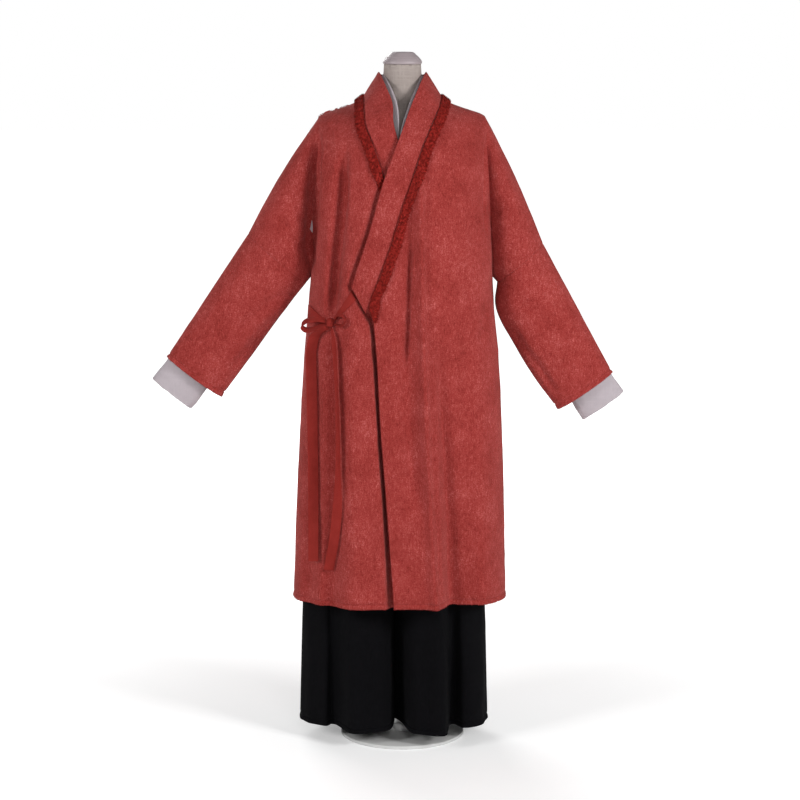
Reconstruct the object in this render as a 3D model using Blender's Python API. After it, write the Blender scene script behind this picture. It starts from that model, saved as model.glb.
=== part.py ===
"""A cross-collar robe, its under-top and wide trousers, worn on a limbless dress form.

Metres, +Z up. The front faces -Y, and +X is on the right of someone who looks at the front.
The origin is the middle of the stand's underside, on the floor. Left and right are the wearer's,
so the left half of the robe, which closes over the right one, is at +X.
"""

import math
from collections import namedtuple

import bpy
import numpy as np
from mathutils import Vector
from mathutils.bvhtree import BVHTree

# Wall thicknesses, and the gaps that are kept between pieces that meet.
ROBE_WALL = 0.0028
BAND_WALL = 0.0044
TRIM_WALL = 0.0044
TAPE_WALL = 0.0016
UNDER_WALL = 0.0012
TROUSER_WALL = 0.0014
WAISTBAND_WALL = 0.0026
SEAM = 0.0004
LIFT = 0.0006
LIFT_REACH = 0.02

# A garment's shell hangs from the bust level down in rings, and from there up it closes over the shoulders.
BUST_Z = 1.25
PLAN_POWER = 2.4

Ring = namedtuple("Ring", "z left right front back")
ROBE_RINGS = [
    Ring(0.337, 0.2425, 0.2555, 0.153, 0.152),
    Ring(0.454, 0.2394, 0.2512, 0.154, 0.148),
    Ring(0.576, 0.2374, 0.2463, 0.154, 0.143),
    Ring(0.688, 0.2331, 0.2404, 0.154, 0.138),
    Ring(0.804, 0.2286, 0.2339, 0.153, 0.133),
    Ring(0.926, 0.2206, 0.2255, 0.152, 0.128),
    Ring(1.000, 0.2132, 0.2190, 0.151, 0.125),
    Ring(1.087, 0.2080, 0.2110, 0.150, 0.123),
    Ring(1.250, 0.2030, 0.2045, 0.149, 0.121),
]
UNDER_RINGS = [
    Ring(0.985, 0.1370, 0.1370, 0.106, 0.0970),
    Ring(1.070, 0.1390, 0.1390, 0.107, 0.0970),
    Ring(1.150, 0.1560, 0.1560, 0.112, 0.0955),
    Ring(1.250, 0.1760, 0.1760, 0.119, 0.0940),
]
FORM_RINGS = [
    Ring(0.815, 0.1420, 0.1420, 0.096, 0.0960),
    Ring(0.825, 0.1490, 0.1490, 0.100, 0.1000),
    Ring(0.870, 0.1580, 0.1580, 0.104, 0.1050),
    Ring(0.920, 0.1510, 0.1510, 0.104, 0.1010),
    Ring(0.985, 0.1350, 0.1350, 0.104, 0.0950),
    Ring(1.070, 0.1365, 0.1365, 0.105, 0.0945),
    Ring(1.150, 0.1500, 0.1500, 0.108, 0.0920),
    Ring(1.250, 0.1660, 0.1660, 0.113, 0.0890),
]
Shell = namedtuple("Shell", "rings drop closing")
ROBE = Shell(ROBE_RINGS, 0.0, 0.85)
UNDER = Shell(UNDER_RINGS, 0.0042, 1.0)
FORM = Shell(FORM_RINGS, 0.0066, 1.5)

# Height of the shoulder line at a distance from the middle. Inside the collar it only shapes the chest.
Ridge = namedtuple("Ridge", "x z")
SHOULDER = [
    Ridge(0.000, 1.5150),
    Ridge(0.040, 1.5150),
    Ridge(0.070, 1.5100),
    Ridge(0.0875, 1.5020),
    Ridge(0.110, 1.4860),
    Ridge(0.149, 1.4720),
    Ridge(0.176, 1.4630),
    Ridge(0.189, 1.4555),
    Ridge(0.215, 1.4250),
]

# The edge of the left front, from the hem up its free edge and then along the collar's seam.
Edge = namedtuple("Edge", "z x")
OVER_EDGE = [
    Edge(0.3370, -0.0195),
    Edge(0.4520, -0.0275),
    Edge(0.6090, -0.0388),
    Edge(0.7570, -0.0500),
    Edge(0.9300, -0.0592),
    Edge(1.0020, -0.0660),
    Edge(1.0350, -0.0755),
    Edge(1.1000, -0.0537),
    Edge(1.1820, -0.0250),
    Edge(1.2680, 0.0000),
    Edge(1.3200, 0.0200),
    Edge(1.3985, 0.0464),
    Edge(1.4440, 0.0665),
    Edge(1.4747, 0.0800),
    Edge(1.4920, 0.0856),
    Edge(1.5020, 0.0875),
]
NAPE = [
    Edge(1.4780, 0.0),
    Edge(1.4840, 0.046),
    Edge(1.4940, 0.075),
    Edge(1.5020, 0.0875),
]
# The neckline's lowest point is this far to the wearer's right, so the right side's seam is shifted twice as
# far. The shift fades out from here up to the shoulder line.
NECKLINE_SHIFT = 0.009
SHIFT_FADES = 1.43

UNDER_NECK = [
    Edge(1.375, 0.0),
    Edge(1.430, 0.033),
    Edge(1.466, 0.058),
    Edge(1.488, 0.074),
    Edge(1.498, 0.080),
]
UNDER_NAPE = [
    Edge(1.462, 0.0),
    Edge(1.474, 0.045),
    Edge(1.488, 0.070),
    Edge(1.498, 0.080),
]

# Rows of a body's wall: where each starts, on the front and back edges, and its height at the side.
Row = namedtuple("Row", "front back side")
ROBE_ROWS = [
    Row(0.337, 0.337, 0.337),
    Row(0.420, 0.420, 0.420),
    Row(0.520, 0.520, 0.520),
    Row(0.620, 0.620, 0.620),
    Row(0.720, 0.720, 0.720),
    Row(0.820, 0.820, 0.820),
    Row(0.920, 0.920, 0.920),
    Row(1.002, 1.000, 0.985),
    Row(1.035, 1.060, 1.035),
    Row(1.100, 1.130, 1.087),
    Row(1.182, 1.220, 1.160),
    Row(1.268, 1.310, 1.240),
    Row(1.320, 1.385, 1.313),
    Row(1.3985, 1.440, 1.370),
    Row(1.444, 1.478, 1.416),
    Row(1.4747, 1.484, 1.444),
    Row(1.492, 1.494, 1.4525),
    Row(1.502, 1.502, 1.456),
]
UNDER_ROWS = [
    Row(0.988, 0.988, 0.988),
    Row(1.060, 1.070, 1.070),
    Row(1.150, 1.150, 1.150),
    Row(1.230, 1.260, 1.225),
    Row(1.310, 1.360, 1.300),
    Row(1.375, 1.430, 1.365),
    Row(1.430, 1.462, 1.415),
    Row(1.466, 1.474, 1.442),
    Row(1.488, 1.488, 1.4535),
    Row(1.498, 1.498, 1.459),
]
ROBE_COLUMNS = 18
UNDER_COLUMNS = 7

# How far inside the side's widest point the armhole's crease runs.
Crease = namedtuple("Crease", "z inset")
ROBE_CREASE = [
    Crease(1.087, 0.0),
    Crease(1.160, 0.0012),
    Crease(1.250, 0.0030),
    Crease(1.313, 0.0055),
    Crease(1.370, 0.0085),
    Crease(1.416, 0.0115),
    Crease(1.445, 0.0140),
    Crease(1.456, 0.0155),
]
UNDER_CREASE = [
    Crease(1.150, 0.0),
    Crease(1.225, 0.0040),
    Crease(1.300, 0.0060),
    Crease(1.365, 0.0070),
    Crease(1.420, 0.0075),
    Crease(1.459, 0.0080),
]

# A fold is a soft ridge (height above 0) or trough (below 0) that runs down a panel.
Fold = namedtuple("Fold", "panel z_top x_top x_mid z_low x_low height_top height_low width_top width_low")
FOLDS = [
    Fold("under", 1.42, -0.127, -0.1375, 0.97, -0.160, -0.003, -0.015, 0.016, 0.014),
    Fold("under", 1.02, -0.159, -0.152, 0.30, -0.168, -0.012, -0.016, 0.014, 0.020),
    Fold("under", 1.40, -0.170, -0.177, 0.97, -0.182, 0.005, 0.008, 0.016, 0.014),
    Fold("under", 1.30, -0.100, -0.110, 0.30, -0.108, 0.003, 0.012, 0.028, 0.034),
    Fold("under", 0.92, -0.205, -0.212, 0.30, -0.216, -0.003, -0.014, 0.016, 0.018),
    Fold("over", 1.28, 0.018, 0.0105, 0.40, 0.003, -0.008, -0.008, 0.014, 0.028),
    Fold("over", 1.38, 0.047, 0.058, 0.30, 0.080, 0.005, 0.010, 0.015, 0.020),
    Fold("over", 1.02, 0.080, 0.097, 0.30, 0.112, -0.002, -0.036, 0.020, 0.018),
    Fold("over", 1.00, 0.130, 0.140, 0.30, 0.150, -0.001, -0.024, 0.030, 0.030),
    Fold("over", 1.15, 0.172, 0.182, 0.30, 0.192, 0.003, 0.004, 0.022, 0.020),
    Fold("back", 1.36, -0.055, -0.062, 0.30, -0.070, -0.003, -0.018, 0.022, 0.026),
    Fold("back", 1.30, 0.060, 0.056, 0.30, 0.052, -0.003, -0.016, 0.024, 0.028),
    Fold("back", 1.20, -0.125, -0.134, 0.30, -0.146, -0.002, -0.017, 0.020, 0.024),
    Fold("back", 1.24, 0.128, 0.132, 0.30, 0.136, -0.002, -0.019, 0.020, 0.024),
    Fold("back", 1.10, -0.005, -0.008, 0.30, -0.012, 0.002, 0.010, 0.024, 0.028),
]
FOLD_FADE = 0.10
# Folds flatten out over the outermost part of the plan's width, on its turn to the side.
FOLD_TURN = 3

# Below its collar the right front passes behind the left one, and dips into the slit along its edge.
Dip = namedtuple("Dip", "z depth slit width")
DIPS = [
    Dip(0.337, 0.020, 0.050, 0.050),
    Dip(0.600, 0.018, 0.038, 0.038),
    Dip(0.930, 0.016, 0.026, 0.030),
    Dip(1.080, 0.0130, 0.0130, 0.030),
    Dip(1.430, 0.0125, 0.0125, 0.030),
    Dip(1.490, 0.000, 0.000, 0.030),
]
DIP_LEAD = 0.006
SLIT_NEAR = 0.010
SLIT_FAR = 0.050
OVERLAP_BLEND = 0.02

# The collar, from its pointed lower end to the shoulder and round to the nape: inner edge, then seam edge.
# Where in_y is 0 the inner edge lies on the chest.
Station = namedtuple("Station", "in_x in_y in_z out_x out_z")
COLLAR_FRONT = [
    Station(-0.1148, 0, 1.0793, -0.0830, 1.0220),
    Station(-0.0976, 0, 1.1358, -0.0537, 1.1000),
    Station(-0.0734, 0, 1.2079, -0.0250, 1.1820),
    Station(-0.0516, 0, 1.2886, 0.0000, 1.2680),
    Station(-0.0337, 0, 1.3444, 0.0200, 1.3200),
    Station(-0.0081, -0.1270, 1.4122, 0.0464, 1.3985),
    Station(0.0064, -0.1110, 1.4512, 0.0665, 1.4440),
    Station(0.0221, -0.0900, 1.4921, 0.0800, 1.4747),
    Station(0.0420, -0.0540, 1.5360, 0.0856, 1.4920),
    Station(0.0535, -0.0080, 1.5560, 0.0875, 1.5020),
]
COLLAR_BACK = [
    Station(0.0490, 0.0240, 1.5500, 0.0750, 1.4940),
    Station(0.0310, 0.0470, 1.5440, 0.0460, 1.4840),
    Station(0.0000, 0.0570, 1.5400, 0.0000, 1.4780),
]
COLLAR_LIFT = 0.0014
COLLAR_COLUMNS = 3
TRIM_WIDTH = 0.021
TRIM_TIP = 0.006
TRIM_COLUMNS = 2
TRIM_GAP = 0.0014
COLLAR_ROW = 7

# The under-top's collar stands this far inside the robe's collar edge, on the wearer's right and left.
# It shows between the vee and the shoulder, and leans towards a place in the neck.
UNDER_SHOW = {-1: 0.013, 1: 0.005}
UNDER_SHOW_LOW = (1.40, 1.45)
UNDER_SHOW_TOP = (1.556, 1.52)
UNDER_BACK_SHOW = -0.0015
UNDER_AIM_Y = 0.004
UNDER_AIM_DROP = 0.01
UNDER_INSET = 0.0068
UNDER_VEE_Y = -0.1075
UNDER_VEE_GAP = 0.0016
UNDER_FOOT = 0.03
UNDER_VEE_FOOT = 0.30
UNDER_NECK_ROWS = 5

# Sleeves: the seam above the elbow, the underarm edge and the cuff, as places seen from the front.
Sleeve = namedtuple("Sleeve", "side seam_top seam_low low_path cuff_top cuff_low crown under_top under_low")
SLEEVES = {
    "right": Sleeve(-1, (-0.3545, 1.1865), (-0.2210, 1.0750),
                    [(-0.2431, 1.0473), (-0.3005, 0.9711), (-0.3483, 0.9042)],
                    (-0.5445, 0.9018), (-0.4203, 0.8085), 0.007, (-0.5808, 0.8513), (-0.4894, 0.7792)),
    "left": Sleeve(1, (0.3230, 1.1650), (0.2180, 1.0760),
                   [(0.2215, 1.0120), (0.2590, 0.9288), (0.3076, 0.8499)],
                   (0.4860, 0.8652), (0.3613, 0.7785), 0.006, (0.5154, 0.8203), (0.4195, 0.7528)),
}
ARMPIT_Z = 1.087
SEAM_HALF_DEPTH = 0.054
CUFF_HALF_DEPTH = 0.036
WEDGE_COLUMNS = 4
SLEEVE_PLUMP = 0.010
SLEEVE_WAY = (0.58, -0.81)
CROWN_WAY = (0.85, 0.53)
ARMPIT_ROW = 9
ARMPIT_REACH = 0.014
UNDERARM_REACH = 0.010
SLEEVE_SIDES = 18
SLEEVE_STEPS = 8
UNDER_SLEEVE_SIDES = 14
UNDER_SLEEVE_STEPS = 9
UNDER_CUFF_WIDTH = 0.112

# The under-top's sleeve inside the robe's: at the armhole, at the seam above the elbow and at the cuff.
UNDER_HOLE_TOP = (0.1875, 1.440)
UNDER_HOLE_LOW = (0.1905, 1.185)
UNDER_SEAM_INSET = 0.07
UNDER_SEAM_SHARE = 0.66
UNDER_CUFF_INSET = 0.05
UNDER_SLEEVE_DEPTHS = [0.016, 0.036, 0.025, 0.022]

# The ties close the robe on the wearer's right with a bow. A loop's route starts from the knot's middle.
TIE_WIDTH = 0.024
TIE_LIFT = 0.0016
TIE_REACH = 0.004
TIE_SAG = 0.030
TIE_LOOP_STEPS = 15
TIE_END_STEPS = 16
BAND_STEPS = 8
KNOT = (-0.1635, -0.1225, 0.9985)
KNOT_SIZE = (0.0105, 0.0085, 0.0105)
KNOT_RINGS = 8
KNOT_SIDES = 12
LOOP_PINCH = 0.45
Loop = namedtuple("Loop", "width across route")
LOOPS = {
    "tie_bow_outer": Loop(0.022, (0.0, 0.90, 0.43), [
        (-0.0104, 0.000, 0.0025),
        (-0.0300, 0.003, 0.0065),
        (-0.0530, 0.010, 0.0030),
        (-0.0655, 0.016, -0.0095),
        (-0.0530, 0.012, -0.0195),
        (-0.0310, 0.005, -0.0128),
        (-0.0101, 0.000, -0.0040),
    ]),
    "tie_bow_inner": Loop(0.014, (0.0, 0.94, 0.34), [
        (0.0095, -0.002, 0.006),
        (0.0150, -0.012, 0.018),
        (0.0270, -0.020, 0.018),
        (0.0340, -0.022, 0.007),
        (0.0260, -0.019, -0.003),
        (0.0108, -0.005, -0.003),
    ]),
}
# A hanging end's route is x and z, and the tape turns about its length by these degrees.
TieEnd = namedtuple("TieEnd", "turn_top turn_low route")
TIE_ENDS = {
    "tie_end_outer": TieEnd(8, -4, [
        (-0.1700, 0.988),
        (-0.1960, 0.970),
        (-0.2075, 0.930),
        (-0.2070, 0.850),
        (-0.2050, 0.700),
        (-0.2045, 0.550),
        (-0.2050, 0.443),
    ]),
    "tie_end_inner": TieEnd(72, 12, [
        (-0.1620, 0.9873),
        (-0.1555, 0.950),
        (-0.1480, 0.800),
        (-0.1475, 0.620),
        (-0.1540, 0.520),
        (-0.1700, 0.424),
    ]),
}
# The bands that lie flat on the right front, from the side seam and from the collar's end to the knot.
Band = namedtuple("Band", "upper lower")
BANDS = {
    "tie_side": Band([(-0.2150, 1.026), (-0.205, 1.024), (-0.1745, 1.006)],
                     [(-0.2170, 0.985), (-0.205, 0.989), (-0.1748, 0.9975)]),
    "tie_collar": Band([(-0.1158, 1.0716), (-0.135, 1.040), (-0.1545, 1.0085)],
                       [(-0.1052, 1.0524), (-0.130, 1.025), (-0.1525, 1.0010)]),
}

# Trousers: the seam between the legs is beside the stand's pole.
INSEAM_X = -0.0205
WAIST_Z = 0.9895
CROTCH_Z = 0.700
RISE_Z = 0.815
TROUSER_HEM = 0.037
WAISTBAND_TOP = 1.026
WAISTBAND_SIDES = 36
WAISTBAND_EASE = 0.0014
LEG_SHEAR = -0.11
LEG_LOBE_TOP = 0.62
Hip = namedtuple("Hip", "z half front back")
HIPS = [
    Hip(0.700, 0.1860, 0.102, 0.1080),
    Hip(0.840, 0.1740, 0.112, 0.1130),
    Hip(0.910, 0.1640, 0.113, 0.1100),
    Hip(0.9895, 0.1410, 0.1098, 0.1008),
]
Leg = namedtuple("Leg", "z half front back")
LEGS = [
    Leg(0.037, 0.1110, 0.064, 0.082),
    Leg(0.320, 0.1070, 0.068, 0.084),
    Leg(0.700, 0.0980, 0.086, 0.106),
]
Lobe = namedtuple("Lobe", "leg face x width height")
LOBES = [
    Lobe("right", "front", -0.086, 0.068, 0.078),
    Lobe("right", "front", -0.206, 0.026, 0.022),
    Lobe("left", "front", 0.044, 0.052, 0.098),
    Lobe("left", "front", 0.156, 0.036, 0.034),
    Lobe("right", "back", -0.170, 0.034, 0.034),
    Lobe("right", "back", -0.070, 0.036, 0.042),
    Lobe("left", "back", 0.028, 0.034, 0.044),
    Lobe("left", "back", 0.125, 0.036, 0.036),
]
TROUSER_COLUMNS = 12
TROUSER_ROWS = [0.037, 0.13, 0.23, 0.34, 0.46, 0.59, 0.70, 0.735, 0.77, 0.815, 0.90, 0.9895]

# The dress form's neck and cap, and its stand.
Turn = namedtuple("Turn", "z radius")
NECK = [
    Turn(1.500, 0.0500),
    Turn(1.508, 0.0480),
    Turn(1.520, 0.0465),
    Turn(1.545, 0.0440),
    Turn(1.5747, 0.0425),
]
CAP = [
    Turn(1.5750, 0.0430),
    Turn(1.5762, 0.0445),
    Turn(1.5805, 0.0445),
    Turn(1.5830, 0.0430),
    Turn(1.5945, 0.0320),
    Turn(1.5998, 0.0262),
    Turn(1.6010, 0.0240),
]
FORM_HEIGHTS = [0.815, 0.825, 0.870, 0.920, 0.985, 1.070, 1.150, 1.220, 1.280, 1.340, 1.390, 1.425, 1.446,
                1.456, 1.464, 1.472, 1.480, 1.488]
FORM_SIDES = 28
NECK_BLEND_Z = 1.46
HALVINGS = 40
CAP_SIDES = 32
POLE_RADIUS = 0.012
POLE_SIDES = 20
BASE_RADIUS = 0.145
BASE_HEIGHT = 0.008
BASE_BEVEL = 0.002
BASE_SIDES = 40
SOCKET_RADIUS = 0.022
SOCKET_HEIGHT = 0.024
SOCKET_BEVEL = 0.003
SOCKET_TAPER = 0.004
SOCKET_SIDES = 24
STAND_GAP = 0.0003


def ramp(x, low, high):
    """A smooth step from 0 at low to 1 at high."""
    t = min(max((x - low) / (high - low), 0.0), 1.0)
    return t * t * (3 - 2 * t)


def read(rows, at, column, key="z"):
    """A table's column at any value of its key, on a curve through the rows that never overshoots them."""
    keys = [getattr(r, key) for r in rows]
    values = [getattr(r, column) for r in rows]
    if at <= keys[0]:
        return values[0]
    if at >= keys[-1]:
        return values[-1]
    i = max(j for j, k in enumerate(keys) if k <= at)
    span = keys[i + 1] - keys[i]
    t = (at - keys[i]) / span

    def slope(j):
        if j == 0 or j == len(keys) - 1:
            return (values[i + 1] - values[i]) / span
        before = (values[j] - values[j - 1]) / (keys[j] - keys[j - 1])
        after = (values[j + 1] - values[j]) / (keys[j + 1] - keys[j])
        return 0.0 if before * after <= 0 else 2 * before * after / (before + after)

    rise = t * t * (3 - 2 * t)
    lead_in = t * (1 - t) ** 2 * span * slope(i)
    lead_out = t * t * (1 - t) * span * slope(i + 1)
    return values[i] * (1 - rise) + values[i + 1] * rise + lead_in - lead_out


def smooth_path(points, count):
    """count points, evenly spaced, on a smooth curve through the given points."""
    p = [np.array(q, float) for q in points]
    p = [2 * p[0] - p[1], *p, 2 * p[-1] - p[-2]]
    fine = []
    for a, b, c, d in zip(p, p[1:], p[2:], p[3:]):
        for t in np.linspace(0, 1, 16, endpoint=False):
            fine.append(0.5 * (2 * b + (c - a) * t + (2 * a - 5 * b + 4 * c - d) * t**2
                               + (3 * b - a - 3 * c + d) * t**3))
    fine = np.array([*fine, p[-2]])
    along = np.concatenate([[0], np.cumsum(np.linalg.norm(np.diff(fine, axis=0), axis=1))])
    return np.array([[np.interp(s, along, fine[:, k]) for k in range(fine.shape[1])]
                     for s in np.linspace(0, along[-1], count)])


def unit(v):
    return v / np.linalg.norm(v)


def unit_rows(vectors):
    return vectors / np.linalg.norm(vectors, axis=1, keepdims=True)


# Materials

Finish = namedtuple("Finish", "colour roughness metallic")
FINISHES = {
    "robe": Finish((0.42, 0.055, 0.050), 0.95, 0.0),
    "trim": Finish((0.20, 0.012, 0.010), 1.0, 0.0),
    "tape": Finish((0.26, 0.025, 0.022), 0.85, 0.0),
    "under": Finish((0.62, 0.58, 0.63), 0.8, 0.0),
    "trousers": Finish((0.008, 0.008, 0.010), 0.85, 0.0),
    "form": Finish((0.46, 0.40, 0.34), 0.9, 0.0),
    "cap": Finish((0.45, 0.38, 0.38), 0.5, 0.0),
    "stand": Finish((0.80, 0.80, 0.80), 0.4, 0.0),
}


def material(name):
    found = bpy.data.materials.get(name)
    if found:
        return found
    made = bpy.data.materials.new(name)
    made.use_nodes = True
    shader = made.node_tree.nodes["Principled BSDF"]
    finish = FINISHES[name]
    shader.inputs["Base Color"].default_value = (*finish.colour, 1.0)
    shader.inputs["Roughness"].default_value = finish.roughness
    shader.inputs["Metallic"].default_value = finish.metallic
    return made


# Solids from points

def triangles(points, faces):
    """The faces with every quad split on its shorter diagonal."""
    split = []
    for f in faces:
        if len(f) != 4:
            split.append(f)
            continue
        a, b, c, d = [np.array(points[i]) for i in f]
        if np.linalg.norm(c - a) < np.linalg.norm(d - b):
            split += [(f[0], f[1], f[2]), (f[0], f[2], f[3])]
        else:
            split += [(f[0], f[1], f[3]), (f[1], f[2], f[3])]
    return split


def walled(points, faces, wall, corners):
    """Gives an open sheet its inner side, a wall's thickness in, and joins the two round every free edge.

    corners holds the inner side's own step from points where the walls on both sides of a fold would meet.
    """
    points, faces = np.array(points), triangles(points, faces)
    count = len(points)
    normals = np.zeros((count, 3))
    for f in faces:
        for before, at, after in zip(f[-1:] + f[:-1], f, f[1:] + f[:1]):
            one, two = unit(points[after] - points[at]), unit(points[before] - points[at])
            across = np.cross(one, two)
            normals[at] += unit(across) * math.atan2(np.linalg.norm(across), float(one @ two))
    inner = points - unit_rows(normals) * wall
    for i, step in corners.items():
        inner[i] = points[i] + np.array(step)
    edges = {pair for f in faces for pair in zip(f, f[1:] + f[:1])}
    rim = [(b, a, a + count, b + count) for a, b in sorted(edges) if (b, a) not in edges]
    return np.concatenate([points, inner]), faces + [tuple(i + count for i in f[::-1]) for f in faces] + rim


def solid(name, points, faces, finish, wall=None, corners=None):
    """An object from points and faces. With a wall they are an open sheet, which is thickened inwards."""
    if wall:
        points, faces = walled(points, faces, wall, corners or {})
    mesh = bpy.data.meshes.new(name)
    mesh.from_pydata([tuple(float(k) for k in p) for p in points], [], faces)
    mesh.materials.append(material(finish))
    mesh.shade_smooth()
    mesh.set_sharp_from_angle(angle=math.radians(40))
    thing = bpy.data.objects.new(name, mesh)
    bpy.context.scene.collection.objects.link(thing)
    return thing


def grid_faces(rows, columns, ring=False):
    """Quads of a grid that is stored row by row. In a ring the last column joins the first."""
    faces = []
    for r in range(rows - 1):
        for c in range(columns if ring else columns - 1):
            d = (c + 1) % columns
            faces.append((r * columns + c, r * columns + d, (r + 1) * columns + d, (r + 1) * columns + c))
    return faces


def facing(points, faces, inside):
    """The faces, turned if need be so that together they face away from a point on their inner side."""
    total = 0.0
    for f in faces:
        corners = [np.array(points[i]) for i in f]
        normal = np.cross(corners[2] - corners[0], corners[-1] - corners[1])
        total += float(np.dot(normal, sum(corners) / len(corners) - inside))
    return faces if total > 0 else [f[::-1] for f in faces]


def sheet(name, grid, finish, wall, inside, ring=False):
    """A wall whose outer face is a grid of points."""
    grid = np.array(grid)
    points = grid.reshape(-1, 3)
    faces = grid_faces(grid.shape[0], grid.shape[1], ring)
    return solid(name, points, facing(points, faces, np.array(inside)), finish, wall)


def slab(name, outer, inner, finish):
    """A solid between two grids of equal size."""
    outer, inner = np.array(outer), np.array(inner)
    rows, columns, _ = outer.shape
    points = np.concatenate([outer.reshape(-1, 3), inner.reshape(-1, 3)])
    below = rows * columns
    top = triangles(points, grid_faces(rows, columns))
    faces = list(top) + [tuple(i + below for i in f[::-1]) for f in top]
    rim = list(range(columns))
    rim += [r * columns + columns - 1 for r in range(1, rows)]
    rim += [(rows - 1) * columns + c for c in range(columns - 2, -1, -1)]
    rim += [r * columns for r in range(rows - 2, 0, -1)]
    for a, b in zip(rim, rim[1:] + rim[:1]):
        faces.append((b, a, a + below, b + below))
    corners = [outer[0, 0], outer[0, 1], outer[1, 1], outer[1, 0]]
    normal = np.cross(corners[2] - corners[0], corners[3] - corners[1])
    if np.dot(normal, outer[0, 0] - inner[0, 0]) < 0:
        faces = [f[::-1] for f in faces]
    return solid(name, points, faces, finish)


def stack(name, loops, finish):
    """A closed solid through rings of points, from the bottom up, counterclockwise from above."""
    count = len(loops[0])
    points = [p for loop in loops for p in loop]
    faces = grid_faces(len(loops), count, ring=True)
    faces.append(tuple(range(count))[::-1])
    faces.append(tuple((len(loops) - 1) * count + c for c in range(count)))
    return solid(name, points, faces, finish)


def circle(radius, z, count):
    return [(radius * math.cos(2 * math.pi * k / count), radius * math.sin(2 * math.pi * k / count), z)
            for k in range(count)]


# A shell's surface

def shoulder_z(shell, x):
    return read(SHOULDER, abs(x), "z", "x") - shell.drop


def middle_and_half(shell, z):
    """The middle and half the width of a shell's plan at a height."""
    left = read(shell.rings, min(z, BUST_Z), "left")
    right = read(shell.rings, min(z, BUST_Z), "right")
    return (left - right) / 2, (left + right) / 2


def surface_y(shell, face, x, z):
    """Y of a shell's outer face, -1 for the front or 1 for the back."""
    middle, half = middle_and_half(shell, z)
    across = min(abs(x - middle) / half, 1.0)
    plan = (1 - across**PLAN_POWER) ** (1 / PLAN_POWER)
    rise = 1.0
    if z > BUST_Z:
        up = min((z - BUST_Z) / (shoulder_z(shell, x) - BUST_Z), 1.0)
        rise = (1 - up * up) ** (shell.closing / 2)
    depth = read(shell.rings, min(z, BUST_Z), "front" if face < 0 else "back")
    return face * depth * plan * rise, min(1.0, FOLD_TURN * plan) * rise


def height_at(shell, x, run):
    """run is 0 on the shoulder line, 1 at the bust, and past that it grows by 1 for each metre down."""
    if run > 1:
        return BUST_Z + 1 - run
    return BUST_Z + (shoulder_z(shell, x) - BUST_Z) * math.cos(run * math.pi / 2)


def run_at(shell, x, z):
    if z <= BUST_Z:
        return 1 + BUST_Z - z
    return math.acos(min((z - BUST_Z) / (shoulder_z(shell, x) - BUST_Z), 1.0)) / (math.pi / 2)


def fold_height(panel, x, z):
    total = 0.0
    for f in FOLDS:
        if f.panel != panel or not f.z_low < z < f.z_top:
            continue
        t = (f.z_top - z) / (f.z_top - f.z_low)
        path = (1 - t) * (1 - 2 * t) * f.x_top + 4 * t * (1 - t) * f.x_mid + t * (2 * t - 1) * f.x_low
        height = f.height_top + (f.height_low - f.height_top) * t
        width = f.width_top + (f.width_low - f.width_top) * t
        fade = ramp(z, f.z_top, f.z_top - FOLD_FADE)
        if f.z_low > ROBE_ROWS[0].side:
            fade *= ramp(z, f.z_low, f.z_low + FOLD_FADE)
        total += fade * height * math.exp(-(((x - path) / width) ** 2))
    return total


def over_line(z):
    """The left front's limit: its free edge, the collar's slanting end and then the collar's inner edge."""
    tip, corner = COLLAR_FRONT[0], OVER_EDGE[5]
    if z < corner.z:
        return read(OVER_EDGE, z, "x")
    if z < tip.in_z:
        return corner.x + (tip.in_x - corner.x) * (z - corner.z) / (tip.in_z - corner.z)
    return read(COLLAR_FRONT, z, "in_x", "in_z")


def under_depth(x, z):
    """How far the right front lies behind the left one."""
    line = over_line(z)
    width = read(DIPS, z, "width")
    depth = read(DIPS, z, "depth")
    slit = read(DIPS, z, "slit") - depth
    entry = ramp(x, line - width, line - DIP_LEAD)
    return entry * (depth + slit * (1 - ramp(x, line + SLIT_NEAR, line + SLIT_FAR)))


def robe_place(panel, x, run):
    """A point of the robe's outer face on the left front ('over'), the right front ('under') or the back."""
    z = height_at(ROBE, x, run)
    face = 1 if panel == "back" else -1
    y, strength = surface_y(ROBE, face, x, z)
    folds = fold_height(panel, x, z)
    if panel == "under":
        covered = ramp(x, over_line(z) - OVERLAP_BLEND, over_line(z) + OVERLAP_BLEND)
        folds += covered * (fold_height("over", x, z) - folds)
        y += under_depth(x, z)
    return np.array([x, y + face * folds * strength, z])


def robe_on(panel, x, z):
    return robe_place(panel, x, run_at(ROBE, x, z))


def robe_frame(panel, x, run):
    """The surface's directions for a step in x and in run, and its outward normal."""
    step = 0.001
    above = max(run - step, 0.0)
    across = (robe_place(panel, x + step, run) - robe_place(panel, x - step, run)) / (2 * step)
    down = (robe_place(panel, x, run + step) - robe_place(panel, x, above)) / (run + step - above)
    normal = unit(np.cross(down, across))
    if panel == "back":
        normal = -normal
    if run == 0:
        normal = unit(np.array([normal[0], 0.0, abs(normal[2])]))
    return across, down, normal


# Body walls

def row_of_points(shell, place, start, end, columns):
    """Points from a start to an end, both given as x and run, evenly round the plan."""
    angles = []
    for x, run in (start, end):
        middle, half = middle_and_half(shell, BUST_Z + 1 - run)
        angles.append(math.asin(min(max((x - middle) / half, -1.0), 1.0)))
    row = []
    for c in range(columns + 1):
        t = c / columns
        run = start[1] + (end[1] - start[1]) * t
        middle, half = middle_and_half(shell, BUST_Z + 1 - run)
        row.append(place(middle + half * math.sin(angles[0] + (angles[1] - angles[0]) * t), run))
    return row


def side_end(shell, side, crease, z, last):
    """Where a row ends: on the side seam, or above the armpit on the armhole's crease."""
    middle, half = middle_and_half(shell, z)
    x = middle + side * (half - (read(crease, z, "inset") if z > crease[0].z else 0.0))
    return x, 0.0 if last else run_at(shell, x, z)


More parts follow.
